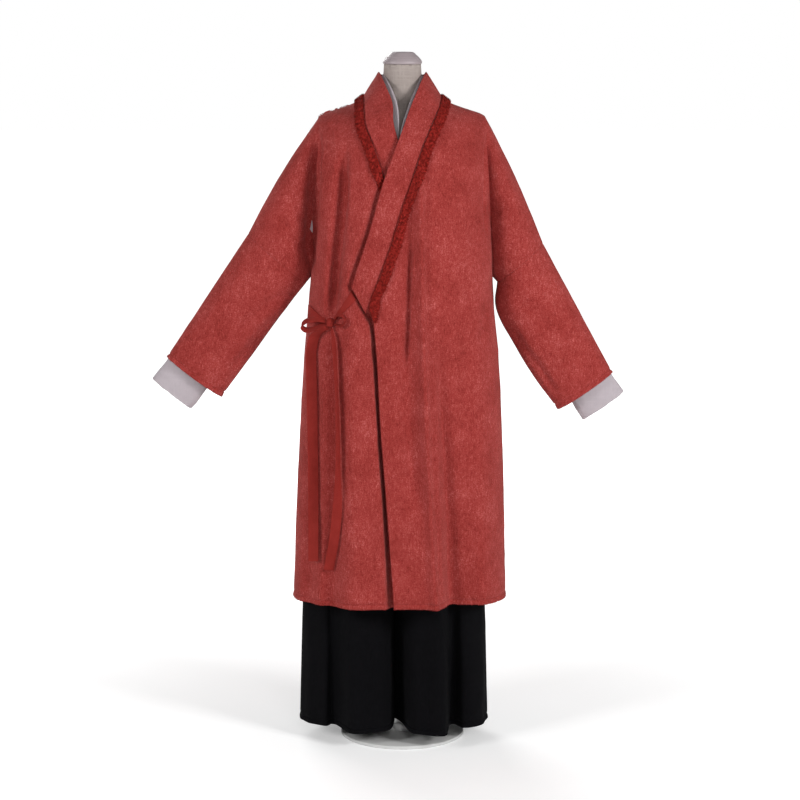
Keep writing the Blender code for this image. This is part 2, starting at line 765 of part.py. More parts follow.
def neckline_shift(z, top):
    """How far the neckline's middle lies to the wearer's right, at a height below the shoulder line's."""
    return NECKLINE_SHIFT * (1 - ramp(z, SHIFT_FADES, top))


def robe_start(panel, side, z):
    if panel == "back":
        return side * (read(NAPE, z, "x") + 2 * SEAM)
    if panel == "over":
        return read(OVER_EDGE, z, "x") + SEAM
    return -read(OVER_EDGE, z, "x") - 2 * neckline_shift(z, ROBE_ROWS[-1].front) - SEAM


def seam_point(side, top, low, share, front):
    """A point of the seam above the elbow. share is 0 on the top and 1 at the underarm."""
    depth = np.array([0, (-1 if front else 1) * SEAM_HALF_DEPTH, 0])
    return top + (low - top) * share + depth * 2 * math.sqrt(max(share * (1 - share), 0.0))


def seam_ends(sleeve):
    return [np.array([x, 0.0, z]) for x, z in (sleeve.seam_top, sleeve.seam_low)]


class BodyWall:
    """The points and faces of half a body. Its front and back share the side seam and shoulder line."""

    def __init__(self, side):
        self.side = side
        self.points = []
        self.faces = []
        self.index = {}
        self.rows = {}
        self.tree = None

    def add(self, key, point):
        self.index[key] = len(self.points)
        self.points.append(point)

    def share(self, key, other):
        self.index[key] = self.index[other]

    def quad(self, keys, front):
        loop = []
        for key in keys:
            if self.index[key] not in loop:
                loop.append(self.index[key])
        if len(loop) > 2:
            self.faces.append(tuple(loop if (self.side > 0) == front else loop[::-1]))


def build_half(wall, shell, rows, crease, columns, panels, start_of, wedge=None):
    """Fills a BodyWall row by row. wedge, where given, adds the part of the sleeve cut in one with it."""
    last = len(rows) - 1
    armpit_row = next(i for i, r in enumerate(rows) if r.side >= crease[0].z)
    for panel, place, front in panels:
        for r, row in enumerate(rows):
            z = row.front if front else row.back
            x = start_of(panel, z)
            start = (x, 0.0 if r == last else run_at(shell, x, z))
            end = side_end(shell, wall.side, crease, row.side, r == last)
            points = row_of_points(shell, place, start, end, columns)
            if r <= armpit_row:
                points[-1][1] = 0.0
            wall.rows[front, r] = points
            for c, point in enumerate(points):
                key = (front, r, c)
                if not front and (r == last or (r <= armpit_row and c == columns)):
                    wall.share(key, (True, r, c))
                else:
                    wall.add(key, point)
            if wedge and r >= armpit_row:
                wedge(wall, front, r, armpit_row, last, columns)
        extra = WEDGE_COLUMNS if wedge else 0
        for r in range(last):
            for c in range(columns + (extra if r >= armpit_row else 0)):
                wall.quad([(front, r, c), (front, r, c + 1), (front, r + 1, c + 1), (front, r + 1, c)], front)


def sleeve_wedge(sleeve):
    """The top of the robe's sleeve, from the armhole's crease to the seam above the elbow."""
    top, low = seam_ends(sleeve)
    corner_x, _ = side_end(ROBE, sleeve.side, ROBE_CREASE, ROBE_ROWS[-1].side, True)
    corner = np.array([corner_x, 0.0, shoulder_z(ROBE, corner_x)])

    def fill(wall, front, r, armpit_row, last, columns):
        edge = wall.points[wall.index[(front, r, columns)]]
        share = (corner[2] - edge[2]) / (corner[2] - ARMPIT_Z)
        for w in range(1, WEDGE_COLUMNS + 1):
            key = (front, r, columns + w)
            t = w / WEDGE_COLUMNS
            if r in (armpit_row, last) and not front:
                wall.share(key, (True, r, columns + w))
            elif r == armpit_row and t < 1:
                wall.share(key, (True, r, columns))
            elif r == armpit_row:
                wall.add(key, low)
            else:
                full = math.sin(math.pi * t)
                point = (1 - t) * edge + t * seam_point(sleeve.side, top, low, share, front)
                point[1] += (-1 if front else 1) * SLEEVE_PLUMP * full * math.sin(math.pi * share)
                out = sleeve.crown * full * max(math.cos(math.pi * share), 0.0)
                wall.add(key, point + out * np.array([sleeve.side * CROWN_WAY[0], 0, CROWN_WAY[1]]))

    return fill


def make_robe_body(name, sleeve, front_panel):
    wall = BodyWall(sleeve.side)
    panels = [(front_panel, lambda x, run: robe_place(front_panel, x, run), True),
              ("back", lambda x, run: robe_place("back", x, run), False)]
    build_half(wall, ROBE, ROBE_ROWS, ROBE_CREASE, ROBE_COLUMNS, panels,
               lambda panel, z: robe_start(panel, sleeve.side, z), sleeve_wedge(sleeve))
    armpit, low = [wall.index[True, ARMPIT_ROW, ROBE_COLUMNS + c] for c in (0, WEDGE_COLUMNS)]
    corners = {armpit: (-sleeve.side * ROBE_WALL, 0, ARMPIT_REACH), low: (0, 0, UNDERARM_REACH)}
    wall.tree = surface_of(solid(name, wall.points, wall.faces, "robe", ROBE_WALL, corners))
    return wall


def under_place(face, x, run):
    z = height_at(UNDER, x, run)
    return np.array([x, surface_y(UNDER, face, x, z)[0], z])


def under_start(front, side, z):
    if front:
        return side * (read(UNDER_NECK, z, "x") + SEAM) - neckline_shift(z, UNDER_ROWS[-1].front)
    return side * (read(UNDER_NAPE, z, "x") + SEAM)


def make_under_body(name, side):
    wall = BodyWall(side)
    panels = [("front", lambda x, run: under_place(-1, x, run), True),
              ("back", lambda x, run: under_place(1, x, run), False)]
    build_half(wall, UNDER, UNDER_ROWS, UNDER_CREASE, UNDER_COLUMNS, panels,
               lambda panel, z: under_start(panel == "front", side, z))
    solid(name, wall.points, wall.faces, "under", UNDER_WALL)


# Sleeves

def sleeve_loop(top, low, half_depth, count, power=1.0):
    """A closed loop in a sleeve, from its top round the front to its underside and back."""
    loop = []
    for k in range(count):
        turn = 2 * math.pi * k / count
        depth = math.copysign(abs(math.sin(turn)) ** power, math.sin(turn))
        loop.append((top + low) / 2 + (top - low) / 2 * math.cos(turn) - np.array([0, half_depth * depth, 0]))
    return loop


def sleeve_paths(sleeve, count):
    """Points down the sleeve's upper and lower edges, from the seam to the cuff."""
    top, low = seam_ends(sleeve)
    upper = smooth_path([(top[0], top[2]), sleeve.cuff_top], count)
    lower = smooth_path([(low[0], low[2]), *sleeve.low_path, sleeve.cuff_low], count)
    return upper, lower


def make_robe_sleeve(name, sleeve):
    upper, lower = sleeve_paths(sleeve, SLEEVE_STEPS + 1)
    loops = []
    for i, (u, v) in enumerate(zip(upper, lower)):
        t = i / SLEEVE_STEPS
        half_depth = SEAM_HALF_DEPTH + (CUFF_HALF_DEPTH - SEAM_HALF_DEPTH) * t
        out = unit(np.array([sleeve.side * SLEEVE_WAY[0], 0, SLEEVE_WAY[1]])) * (2 * SEAM if i == 0 else 0.0)
        loops.append([p + out for p in sleeve_loop(np.array([u[0], 0, u[1]]), np.array([v[0], 0, v[1]]),
                                                   half_depth, SLEEVE_SIDES)])
    middle = (upper[SLEEVE_STEPS // 2] + lower[SLEEVE_STEPS // 2]) / 2
    sheet(name, loops, "robe", ROBE_WALL, (middle[0], 0, middle[1]), ring=True)


def make_under_sleeve(name, sleeve):
    """From the under-top's armhole through the robe's sleeve, to the cuff that shows."""
    side = sleeve.side
    hole = []
    for r in range(len(UNDER_ROWS) - 1, 1, -1):
        hole.append(side_end(UNDER, side, UNDER_CREASE, UNDER_ROWS[r].side, r == len(UNDER_ROWS) - 1))
    front = [under_place(-1, *p) for p in hole]
    back = [under_place(1, *p) for p in hole]
    front[-1][1] = back[-1][1] = 0.0
    gap = np.array([side * 2 * SEAM, 0, 0])
    first = [p + gap for p in front + back[-2:0:-1]]
    count = len(first)
    top, low = seam_ends(sleeve)
    seam_top = top + UNDER_SEAM_INSET * (low - top)
    ends = (sleeve.under_top, sleeve.under_low, sleeve.cuff_top, sleeve.cuff_low)
    cuff_top, cuff_low, robe_top, robe_low = [np.array([x, 0, z]) for x, z in ends]
    at_hole = [np.array([side * x, 0, z]) for x, z in (UNDER_HOLE_TOP, UNDER_HOLE_LOW)]
    at_cuff = robe_top + UNDER_CUFF_INSET * (robe_low - robe_top)
    spans = [at_hole,
             (seam_top, seam_top + UNDER_SEAM_SHARE * (low - top)),
             (at_cuff, at_cuff + UNDER_CUFF_WIDTH * unit(cuff_low - cuff_top)),
             (cuff_top, cuff_low)]
    tops = smooth_path([s[0] for s in spans], UNDER_SLEEVE_STEPS)
    lows = smooth_path([s[1] for s in spans], UNDER_SLEEVE_STEPS)
    half = smooth_path(list(enumerate(UNDER_SLEEVE_DEPTHS)), UNDER_SLEEVE_STEPS)[:, 1]
    loops = [first] + [sleeve_loop(t, v, d, count) for t, v, d in zip(tops, lows, half)]
    inside = UNDER_SLEEVE_STEPS // 2
    middle = (tops[inside] + lows[inside]) / 2
    sheet(name, loops, "under", UNDER_WALL, middle, ring=True)


# Collar and trim

def collar_row(station, side):
    """Points across the collar's outer face, from its seam to its inner edge."""
    front = station in COLLAR_FRONT
    panel = ("over" if side > 0 else "under") if front else "back"
    shifts = 2 if front and side < 0 else 0
    out_x = side * station.out_x - shifts * neckline_shift(station.out_z, ROBE_ROWS[-1].front)
    in_x = side * station.in_x - shifts * neckline_shift(station.in_z, ROBE_ROWS[-1].front)
    row = []
    for c in range(COLLAR_COLUMNS + 1):
        t = c / COLLAR_COLUMNS
        x = out_x + (in_x - out_x) * t
        z = station.out_z + (station.in_z - station.out_z) * t
        if station.in_y == 0:
            row.append(robe_on(panel, x, z))
            continue
        foot = robe_on(panel, out_x, station.out_z)
        in_y = station.in_y + (under_depth(in_x, station.in_z) if panel == "under" else 0.0)
        y = foot[1] + (in_y - foot[1]) * t
        row.append(np.array([x, y, z]))
    return np.array(row)


def collar_rows(side):
    stations = COLLAR_FRONT + COLLAR_BACK
    return [collar_row(s, side) for s in stations]


def grid_normals(grid):
    """Normals of a grid of points, all on the same side."""
    rows = np.gradient(grid, axis=0)
    columns = np.gradient(grid, axis=1)
    normals = np.cross(rows, columns)
    return normals / np.linalg.norm(normals, axis=2, keepdims=True)


def make_collar():
    left, right = collar_rows(1), collar_rows(-1)
    grid = np.array(left + right[-2::-1])
    normals = grid_normals(grid)
    if normals[2, 0, 1] > 0:
        normals = -normals
    steps = np.linspace(0, 1, COLLAR_COLUMNS + 1)[None, :, None]
    seam_side = unit_rows(grid[:, -1] - grid[:, 0])[:, None, :] * SEAM * (1 - steps)
    outer = grid + seam_side + normals * COLLAR_LIFT
    slab("robe_collar", outer, outer - normals * BAND_WALL, "robe")


def surface_of(thing):
    """A search tree of an object's surface."""
    thing.data.calc_loop_triangles()
    points = [v.co[:] for v in thing.data.vertices]
    return BVHTree.FromPolygons(points, [t.vertices[:] for t in thing.data.loop_triangles])


def lifted(grid, normals, tree, gap):
    """The grid, moved out along its normals until each of its faces clears the surface below by the gap."""
    rows, columns, _ = grid.shape
    lift = np.full((rows, columns), gap)
    samples = [(u, v) for u in np.linspace(0, 1, 5) for v in np.linspace(0, 1, 5)]
    for r in range(rows - 1):
        for c in range(columns - 1):
            need = gap
            cell = [(r, c), (r + 1, c), (r, c + 1), (r + 1, c + 1)]
            for u, v in samples:
                weights = [(1 - u) * (1 - v), u * (1 - v), (1 - u) * v, u * v]
                place = sum(w * grid[k] for w, k in zip(weights, cell))
                way = unit(sum(w * normals[k] for w, k in zip(weights, cell)))
                hit = tree.ray_cast(Vector(place + way * LIFT_REACH), Vector(-way), 2 * LIFT_REACH)[0]
                if hit is not None:
                    need = max(need, float(np.dot(np.array(hit) - place, way)) + gap)
            for k in cell:
                lift[k] = max(lift[k], need)
    return grid + normals * lift[:, :, None]


def along_row(points, distance):
    """The place at a distance along a row of points."""
    for a, b in zip(points, points[1:]):
        step = np.linalg.norm(b - a)
        if distance <= step:
            return a + (b - a) * distance / step
        distance -= step
    return points[-1]


def front_trim_rows(wall, panel):
    """The trim's places on a front, row by row from its lower end to the shoulder, with their normals."""
    rows, last = [], len(ROBE_ROWS) - 1
    for r in range(COLLAR_ROW, last + 1):
        points = wall.rows[True, r]
        seam = unit(wall.rows[True, min(r + 1, last)][0] - wall.rows[True, r - 1][0])
        lean = np.linalg.norm(np.cross(unit(points[1] - points[0]), seam))
        width = TRIM_WIDTH / lean if r > COLLAR_ROW else TRIM_TIP
        places = [along_row(points, TRIM_GAP + width * c / TRIM_COLUMNS) for c in range(TRIM_COLUMNS + 1)]
        rows.append([(p, robe_frame(panel, p[0], 0.0 if r == last else run_at(ROBE, p[0], p[2]))[2])
                     for p in places])
    return rows


def back_trim_rows(side):
    """The trim's places on the back, from just behind the shoulder to the nape, with their normals."""
    stations = [COLLAR_FRONT[-1]] + COLLAR_BACK
    track = [(side * s.out_x, s.out_z) for s in stations]
    points = np.array([robe_on("back", *p) for p in track])
    rows = []
    for (x, z), tangent in list(zip(track, np.gradient(points, axis=0)))[1:]:
        run = run_at(ROBE, x, z)
        step_x, step_run, normal = robe_frame("back", x, run)
        outward = unit(np.cross(tangent, normal))
        outward = outward if outward[2] < 0 else -outward
        share = np.linalg.lstsq(np.array([step_x, step_run]).T, outward, rcond=None)[0]
        row = []
        for c in range(TRIM_COLUMNS + 1):
            width = TRIM_GAP + TRIM_WIDTH * c / TRIM_COLUMNS
            place = (x + share[0] * width, run + share[1] * width)
            row.append((robe_place("back", *place), robe_frame("back", *place)[2]))
        rows.append(row)
    return rows


def make_trim(name, wall, panel):
    rows = front_trim_rows(wall, panel) + back_trim_rows(wall.side)
    base = np.array([[place for place, _ in row] for row in rows])
    normals = np.array([[normal for _, normal in row] for row in rows])
    base[-1, :, 0] = wall.side * 2 * SEAM
    normals[-1, :, 0] = 0
    base = lifted(base, normals, wall.tree, LIFT)
    slab(name, base + normals * TRIM_WALL, base, "trim")


def make_under_collar():
    """A band from the under-top's neckline to just inside the robe's collar."""
    halves = []
    for side in (1, -1):
        half = []
        stations = COLLAR_FRONT[-UNDER_NECK_ROWS:] + COLLAR_BACK
        feet = [(True, r.front) for r in UNDER_ROWS[-UNDER_NECK_ROWS:]]
        feet += [(False, r.back) for r in UNDER_ROWS[-2:-5:-1]]
        for s, (front, z) in zip(stations, feet):
            robe_row = collar_row(s, side)
            across = unit(robe_row[-1] - robe_row[0])
            show = UNDER_BACK_SHOW
            if front:
                show = UNDER_SHOW[side] * ramp(s.in_z, *UNDER_SHOW_LOW) * ramp(s.in_z, *UNDER_SHOW_TOP)
            inner = robe_row[-1] + across * show
            if s is stations[0]:
                inner = np.array([-NECKLINE_SHIFT + side * UNDER_VEE_GAP, UNDER_VEE_Y, s.in_z])
            else:
                aim = np.array([0.0, UNDER_AIM_Y, inner[2] - UNDER_AIM_DROP])
                inner = inner + unit(aim - inner) * UNDER_INSET
            x = under_start(front, side, z)
            run = 0.0 if z == UNDER_ROWS[-1].front else run_at(UNDER, x, z)
            foot = under_place(-1 if front else 1, x, run)
            lowest = UNDER_FOOT
            if s is stations[0]:
                foot[0], lowest = inner[0], UNDER_VEE_FOOT
            half.append([foot + (inner - foot) * t for t in (lowest, 0.5, 1.0)])
        halves.append(half)
    grid = np.array(halves[0] + halves[1][-2::-1])
    normals = grid_normals(grid)
    if normals[2, 0, 1] > 0:
        normals = -normals
    slab("under_collar", grid, grid - normals * UNDER_WALL, "under")


# Ties

def tape(name, centres, widths, across):
    """A flat tape through centre points, each with its own width and direction across."""
    centres = np.array(centres)
    along = unit_rows(np.gradient(centres, axis=0))
    outer, inner = [], []
    for centre, tangent, width, direction in zip(centres, along, widths, across):
        direction = np.array(direction, float)
        direction = unit(direction - tangent * np.dot(direction, tangent))
        normal = unit(np.cross(tangent, direction))
        edges = [centre + direction * width * k / 2 for k in (-1, 1)]
        outer.append([e + normal * TAPE_WALL / 2 for e in edges])
        inner.append([e - normal * TAPE_WALL / 2 for e in edges])
    slab(name, outer, inner, "tape")


def front_of_robe(x, z, reach=0.0):
    """The frontmost Y of the right front within a reach of x."""
    return min(robe_on("under", x + reach * k / 4, z)[1] for k in range(-4, 5))


def make_band(name, tree, band):
    """A flat band on the right front between an upper and a lower edge, each given as x and z."""
    edges = []
    for edge in band:
        turns = []
        for x, z in edge:
            middle, half = middle_and_half(ROBE, z)
            turns.append((math.asin((x - middle) / half), z))
        edges.append(smooth_path(turns, BAND_STEPS))
    grid, normals = [], []
    for row in zip(*edges):
        places = []
        for turn, z in row:
            middle, half = middle_and_half(ROBE, z)
            places.append((middle + half * math.sin(turn), BUST_Z + 1 - z))
        grid.append([robe_place("under", *p) for p in places])
        normals.append([robe_frame("under", *p)[2] for p in places])
    normals = np.array(normals)
    base = lifted(np.array(grid), normals, tree, LIFT)
    slab(name, base + normals * TAPE_WALL, base, "tape")


def make_knot():
    loops = []
    for k in range(1, KNOT_RINGS):
        turn = math.pi * k / KNOT_RINGS
        ring = circle(math.sin(turn), -math.cos(turn), KNOT_SIDES)
        loops.append([tuple(np.array(KNOT) + np.array(KNOT_SIZE) * p) for p in ring])
    stack("tie_knot", loops, "tape")


def make_loop(name, loop):
    """A loop of tape that leaves the knot and comes back to it."""
    centres = smooth_path([np.add(KNOT, step) for step in loop.route], TIE_LOOP_STEPS)
    widths = [loop.width * (LOOP_PINCH + (1 - LOOP_PINCH) * math.sin(math.pi * t))
              for t in np.linspace(0, 1, TIE_LOOP_STEPS)]
    tape(name, centres, widths, [loop.across] * TIE_LOOP_STEPS)


def make_end(name, end):
    """An end of the tie that hangs down the right front."""
    places = smooth_path(end.route, TIE_END_STEPS)
    centres, widths, across = [], [], []
    for i, (x, z) in enumerate(places):
        t = i / (TIE_END_STEPS - 1)
        turn = math.radians(end.turn_top + (end.turn_low - end.turn_top) * ramp(t, 0.25, 1.0))
        width = TIE_WIDTH * (0.5 + 0.5 * ramp(t, 0.0, 0.08))
        reach = width / 2 * math.cos(turn) + TIE_REACH
        resting = front_of_robe(x, z, reach) - width / 2 * math.sin(turn) - TIE_LIFT
        hung = KNOT[1] + TIE_SAG * ramp(t, 0.0, 0.12)
        centres.append((x, min(resting, hung), z))
        widths.append(width)
        across.append((math.cos(turn), math.sin(turn), 0.0))
    tape(name, centres, widths, across)


def make_ties(tree):
    make_knot()
    for name, band in BANDS.items():
        make_band(name, tree, band)
    for name, loop in LOOPS.items():
        make_loop(name, loop)
    for name, end in TIE_ENDS.items():
        make_end(name, end)


# Trousers

def trouser_place(leg, face, share, z):
    """share is 0 at the middle or inseam and 1 at the side."""
    side = 1 if leg == "left" else -1
    way = -1 if face == "front" else 1
    merge = ramp(z, RISE_Z, CROTCH_Z)
    hip_middle = INSEAM_X * merge
    turn = share * math.pi / 2
    hip_x = hip_middle + side * read(HIPS, z, "half") * math.sin(turn)
    hip_y = way * read(HIPS, z, face) * (1 - math.sin(turn) ** PLAN_POWER) ** (1 / PLAN_POWER)
    half = read(LEGS, z, "half")
    leg_x = INSEAM_X + side * half * (1 - math.cos(share * math.pi))
    plump = math.sin(share * math.pi) ** 0.8
    leg_y = read(LEGS, z, face) * plump
    growth = max((LEG_LOBE_TOP - z) / (LEG_LOBE_TOP - TROUSER_HEM), 0.0) ** 1.3
    for lobe in LOBES:
        if lobe.leg == leg and lobe.face == face:
            leg_y += growth * lobe.height * math.exp(-(((leg_x - lobe.x) / lobe.width) ** 4)) * plump**0.5
    x = hip_x * (1 - merge) + leg_x * merge
    y = hip_y * (1 - merge) + way * leg_y * merge
    x += LEG_SHEAR * y * ramp(z, CROTCH_Z, 0.30)
    gap = side * SEAM * (1 - share)
    return np.array([x + gap, y + way * SEAM * (merge if share == 0 else 1 if share == 1 else 0), z])


def make_trouser_panel(leg, face):
    grid = [[trouser_place(leg, face, c / TROUSER_COLUMNS, z) for c in range(TROUSER_COLUMNS + 1)]
            for z in TROUSER_ROWS]
    side = 1 if leg == "left" else -1
    sheet(f"trousers_{leg}_{face}", grid, "trousers", TROUSER_WALL, (INSEAM_X + side * 0.1, 0, 0.4))


def make_waistband():
    outer = []
    for z in (WAIST_Z + SEAM, WAISTBAND_TOP):
        row = []
        for k in range(WAISTBAND_SIDES):
            turn = 2 * math.pi * k / WAISTBAND_SIDES
            c, s = math.cos(turn), math.sin(turn)
            half = read(UNDER_RINGS, z, "left")
            depth = read(UNDER_RINGS, z, "front" if s < 0 else "back")
            p = np.array([half * math.copysign(abs(c) ** (2 / PLAN_POWER), c),
                          depth * math.copysign(abs(s) ** (2 / PLAN_POWER), s), z])
            away = unit(np.array([p[0] / half**2, p[1] / depth**2, 0]))
            row.append(p + away * (WAISTBAND_EASE + WAISTBAND_WALL))
        outer.append(row)
    sheet("trousers_waistband", outer, "trousers", WAISTBAND_WALL, (0, 0, 1.0), ring=True)


# The dress form and its stand

def form_ring(z):
    """The form's outline at a height, counterclockwise from above."""
    middle, half = middle_and_half(FORM, z)
    if z > BUST_Z:
        low, high = 0.0, half
        if shoulder_z(FORM, half) < z:
            for _ in range(HALVINGS):
                mid = (low + high) / 2
                low, high = (mid, high) if shoulder_z(FORM, mid) > z else (low, mid)
            half = low
    neck = read(NECK, z, "radius") if z > NECK_BLEND_Z else 0.0
    half = max(half, neck) if z < NECK[0].z else neck
    ring = []
    for k in range(FORM_SIDES):
        turn = 2 * math.pi * k / FORM_SIDES
        x = half * math.cos(turn)
        face = -1 if math.sin(turn) < 0 else 1
        if z >= NECK[0].z:
            ring.append((x, half * math.sin(turn), z))
            continue
        y = abs(surface_y(FORM, face, x, z)[0])
        if abs(x) < neck:
            y = max(y, math.sqrt(neck**2 - x**2))
        ring.append((x, face * y if abs(math.sin(turn)) > 1e-6 else 0.0, z))
    return ring


def make_form():
    loops = [form_ring(z) for z in FORM_HEIGHTS] + [form_ring(t.z) for t in NECK]
    stack("form_torso", loops, "form")
    stack("form_cap", [circle(t.radius, t.z, CAP_SIDES) for t in CAP], "cap")


def turned(name, sides, rings):
    """A round part of the stand through rings of radius and height, from the bottom up."""
    stack(name, [circle(radius, z, sides) for radius, z in rings], "stand")


def make_stand():
    turned("stand_base", BASE_SIDES, [
        (BASE_RADIUS, 0.0),
        (BASE_RADIUS, BASE_HEIGHT - BASE_BEVEL),
        (BASE_RADIUS - BASE_BEVEL, BASE_HEIGHT),
    ])
    turned("stand_socket", SOCKET_SIDES, [
        (SOCKET_RADIUS, BASE_HEIGHT + STAND_GAP),
        (SOCKET_RADIUS, SOCKET_HEIGHT - SOCKET_BEVEL),
        (SOCKET_RADIUS - SOCKET_TAPER, SOCKET_HEIGHT),
    ])
    turned("stand_pole", POLE_SIDES, [
        (POLE_RADIUS, SOCKET_HEIGHT + STAND_GAP),
        (POLE_RADIUS, FORM_RINGS[0].z - STAND_GAP),
    ])


def main():
    for old in list(bpy.data.objects):
        bpy.data.objects.remove(old)
    make_form()
    make_stand()
    left = make_robe_body("robe_left_body", SLEEVES["left"], "over")
    right = make_robe_body("robe_right_body", SLEEVES["right"], "under")
    for name, sleeve in SLEEVES.items():
        make_robe_sleeve(f"robe_{name}_sleeve", sleeve)
        make_under_sleeve(f"under_{name}_sleeve", sleeve)
        make_under_body(f"under_{name}_body", sleeve.side)
    make_collar()
    make_trim("trim_left", left, "over")
    make_trim("trim_right", right, "under")
    make_under_collar()
    make_ties(right.tree)
    for leg in ("left", "right"):
        for face in ("front", "back"):
            make_trouser_panel(leg, face)
    make_waistband()


main()
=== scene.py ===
"""The looks of a cross-collar robe, its under-top and wide trousers on a limbless dress form.

Metres, +Z up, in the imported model's own frame: the front faces -Y, and +X is on the right of someone
who looks at the front. Left and right are the wearer's. The cloth is worked out from the same named
values as the solids, on a finer grid, with its creases, hems, stitches and pile.
"""

import math
from collections import namedtuple

import bmesh
import bpy
import numpy as np
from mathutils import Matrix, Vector, kdtree, noise
from mathutils.bvhtree import BVHTree


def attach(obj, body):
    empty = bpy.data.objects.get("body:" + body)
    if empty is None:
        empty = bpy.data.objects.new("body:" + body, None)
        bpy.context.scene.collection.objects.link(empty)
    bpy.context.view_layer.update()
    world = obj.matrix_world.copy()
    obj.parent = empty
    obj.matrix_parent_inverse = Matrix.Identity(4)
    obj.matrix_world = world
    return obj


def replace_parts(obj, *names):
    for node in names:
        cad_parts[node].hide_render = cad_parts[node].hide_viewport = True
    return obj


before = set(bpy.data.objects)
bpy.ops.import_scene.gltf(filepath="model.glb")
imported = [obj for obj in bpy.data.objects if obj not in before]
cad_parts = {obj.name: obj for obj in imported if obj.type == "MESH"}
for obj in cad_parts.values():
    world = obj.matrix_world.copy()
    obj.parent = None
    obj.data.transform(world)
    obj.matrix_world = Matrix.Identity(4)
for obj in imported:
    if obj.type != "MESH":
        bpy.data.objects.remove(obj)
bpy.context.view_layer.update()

# Wall thicknesses, and the gaps that are kept between pieces that meet.
ROBE_WALL = 0.0028
BAND_WALL = 0.0044
TRIM_WALL = 0.0044
TAPE_WALL = 0.0016
UNDER_WALL = 0.0012
TROUSER_WALL = 0.0014
WAISTBAND_WALL = 0.0026
SEAM = 0.0004
LIFT = 0.0006
LIFT_REACH = 0.02

# A garment's shell hangs from the bust level down in rings, and from there up it closes over the shoulders.
BUST_Z = 1.25
PLAN_POWER = 2.4

Ring = namedtuple("Ring", "z left right front back")
ROBE_RINGS = [
    Ring(0.337, 0.2425, 0.2555, 0.153, 0.152),
    Ring(0.454, 0.2394, 0.2512, 0.154, 0.148),
    Ring(0.576, 0.2374, 0.2463, 0.154, 0.143),
    Ring(0.688, 0.2331, 0.2404, 0.154, 0.138),
    Ring(0.804, 0.2286, 0.2339, 0.153, 0.133),
    Ring(0.926, 0.2206, 0.2255, 0.152, 0.128),
    Ring(1.000, 0.2132, 0.2190, 0.151, 0.125),
    Ring(1.087, 0.2080, 0.2110, 0.150, 0.123),
    Ring(1.250, 0.2030, 0.2045, 0.149, 0.121),
]
Shell = namedtuple("Shell", "rings drop closing")
ROBE = Shell(ROBE_RINGS, 0.0, 0.85)

# Height of the shoulder line at a distance from the middle. Inside the collar it only shapes the chest.
Ridge = namedtuple("Ridge", "x z")
SHOULDER = [
    Ridge(0.000, 1.5150),
    Ridge(0.040, 1.5150),
    Ridge(0.070, 1.5100),
    Ridge(0.0875, 1.5020),
    Ridge(0.110, 1.4860),
    Ridge(0.149, 1.4720),
    Ridge(0.176, 1.4630),
    Ridge(0.189, 1.4555),
    Ridge(0.215, 1.4250),
]

# The edge of the left front, from the hem up its free edge and then along the collar's seam.
Edge = namedtuple("Edge", "z x")
OVER_EDGE = [
    Edge(0.3370, -0.0195),
    Edge(0.4520, -0.0275),
    Edge(0.6090, -0.0388),
    Edge(0.7570, -0.0500),
    Edge(0.9300, -0.0592),
    Edge(1.0020, -0.0660),
    Edge(1.0350, -0.0755),
    Edge(1.1000, -0.0537),
    Edge(1.1820, -0.0250),
    Edge(1.2680, 0.0000),
    Edge(1.3200, 0.0200),
    Edge(1.3985, 0.0464),
    Edge(1.4440, 0.0665),
    Edge(1.4747, 0.0800),
    Edge(1.4920, 0.0856),
    Edge(1.5020, 0.0875),
]
NAPE = [
    Edge(1.4780, 0.0),
    Edge(1.4840, 0.046),
    Edge(1.4940, 0.075),
    Edge(1.5020, 0.0875),
]
# The neckline's lowest point is this far to the wearer's right, so the right side's seam is shifted twice as far.
NECKLINE_SHIFT = 0.009

# Rows of a body's wall: where each starts, on the front and back edges, and its height at the side.
Row = namedtuple("Row", "front back side")
ROBE_ROWS = [
    Row(0.337, 0.337, 0.337),
    Row(0.420, 0.420, 0.420),
    Row(0.520, 0.520, 0.520),
    Row(0.620, 0.620, 0.620),
    Row(0.720, 0.720, 0.720),
    Row(0.820, 0.820, 0.820),
    Row(0.920, 0.920, 0.920),
    Row(1.002, 1.000, 0.985),
    Row(1.035, 1.060, 1.035),
    Row(1.100, 1.130, 1.087),
    Row(1.182, 1.220, 1.160),
    Row(1.268, 1.310, 1.240),
    Row(1.320, 1.385, 1.313),
    Row(1.3985, 1.440, 1.370),
    Row(1.444, 1.478, 1.416),
    Row(1.4747, 1.484, 1.444),
    Row(1.492, 1.494, 1.4525),
    Row(1.502, 1.502, 1.456),
]

# How far inside the side's widest point the armhole's crease runs.
Crease = namedtuple("Crease", "z inset")
ROBE_CREASE = [
    Crease(1.087, 0.0),
    Crease(1.160, 0.0012),
    Crease(1.250, 0.0030),
    Crease(1.313, 0.0055),
    Crease(1.370, 0.0085),
    Crease(1.416, 0.0115),
    Crease(1.445, 0.0140),
    Crease(1.456, 0.0155),
]

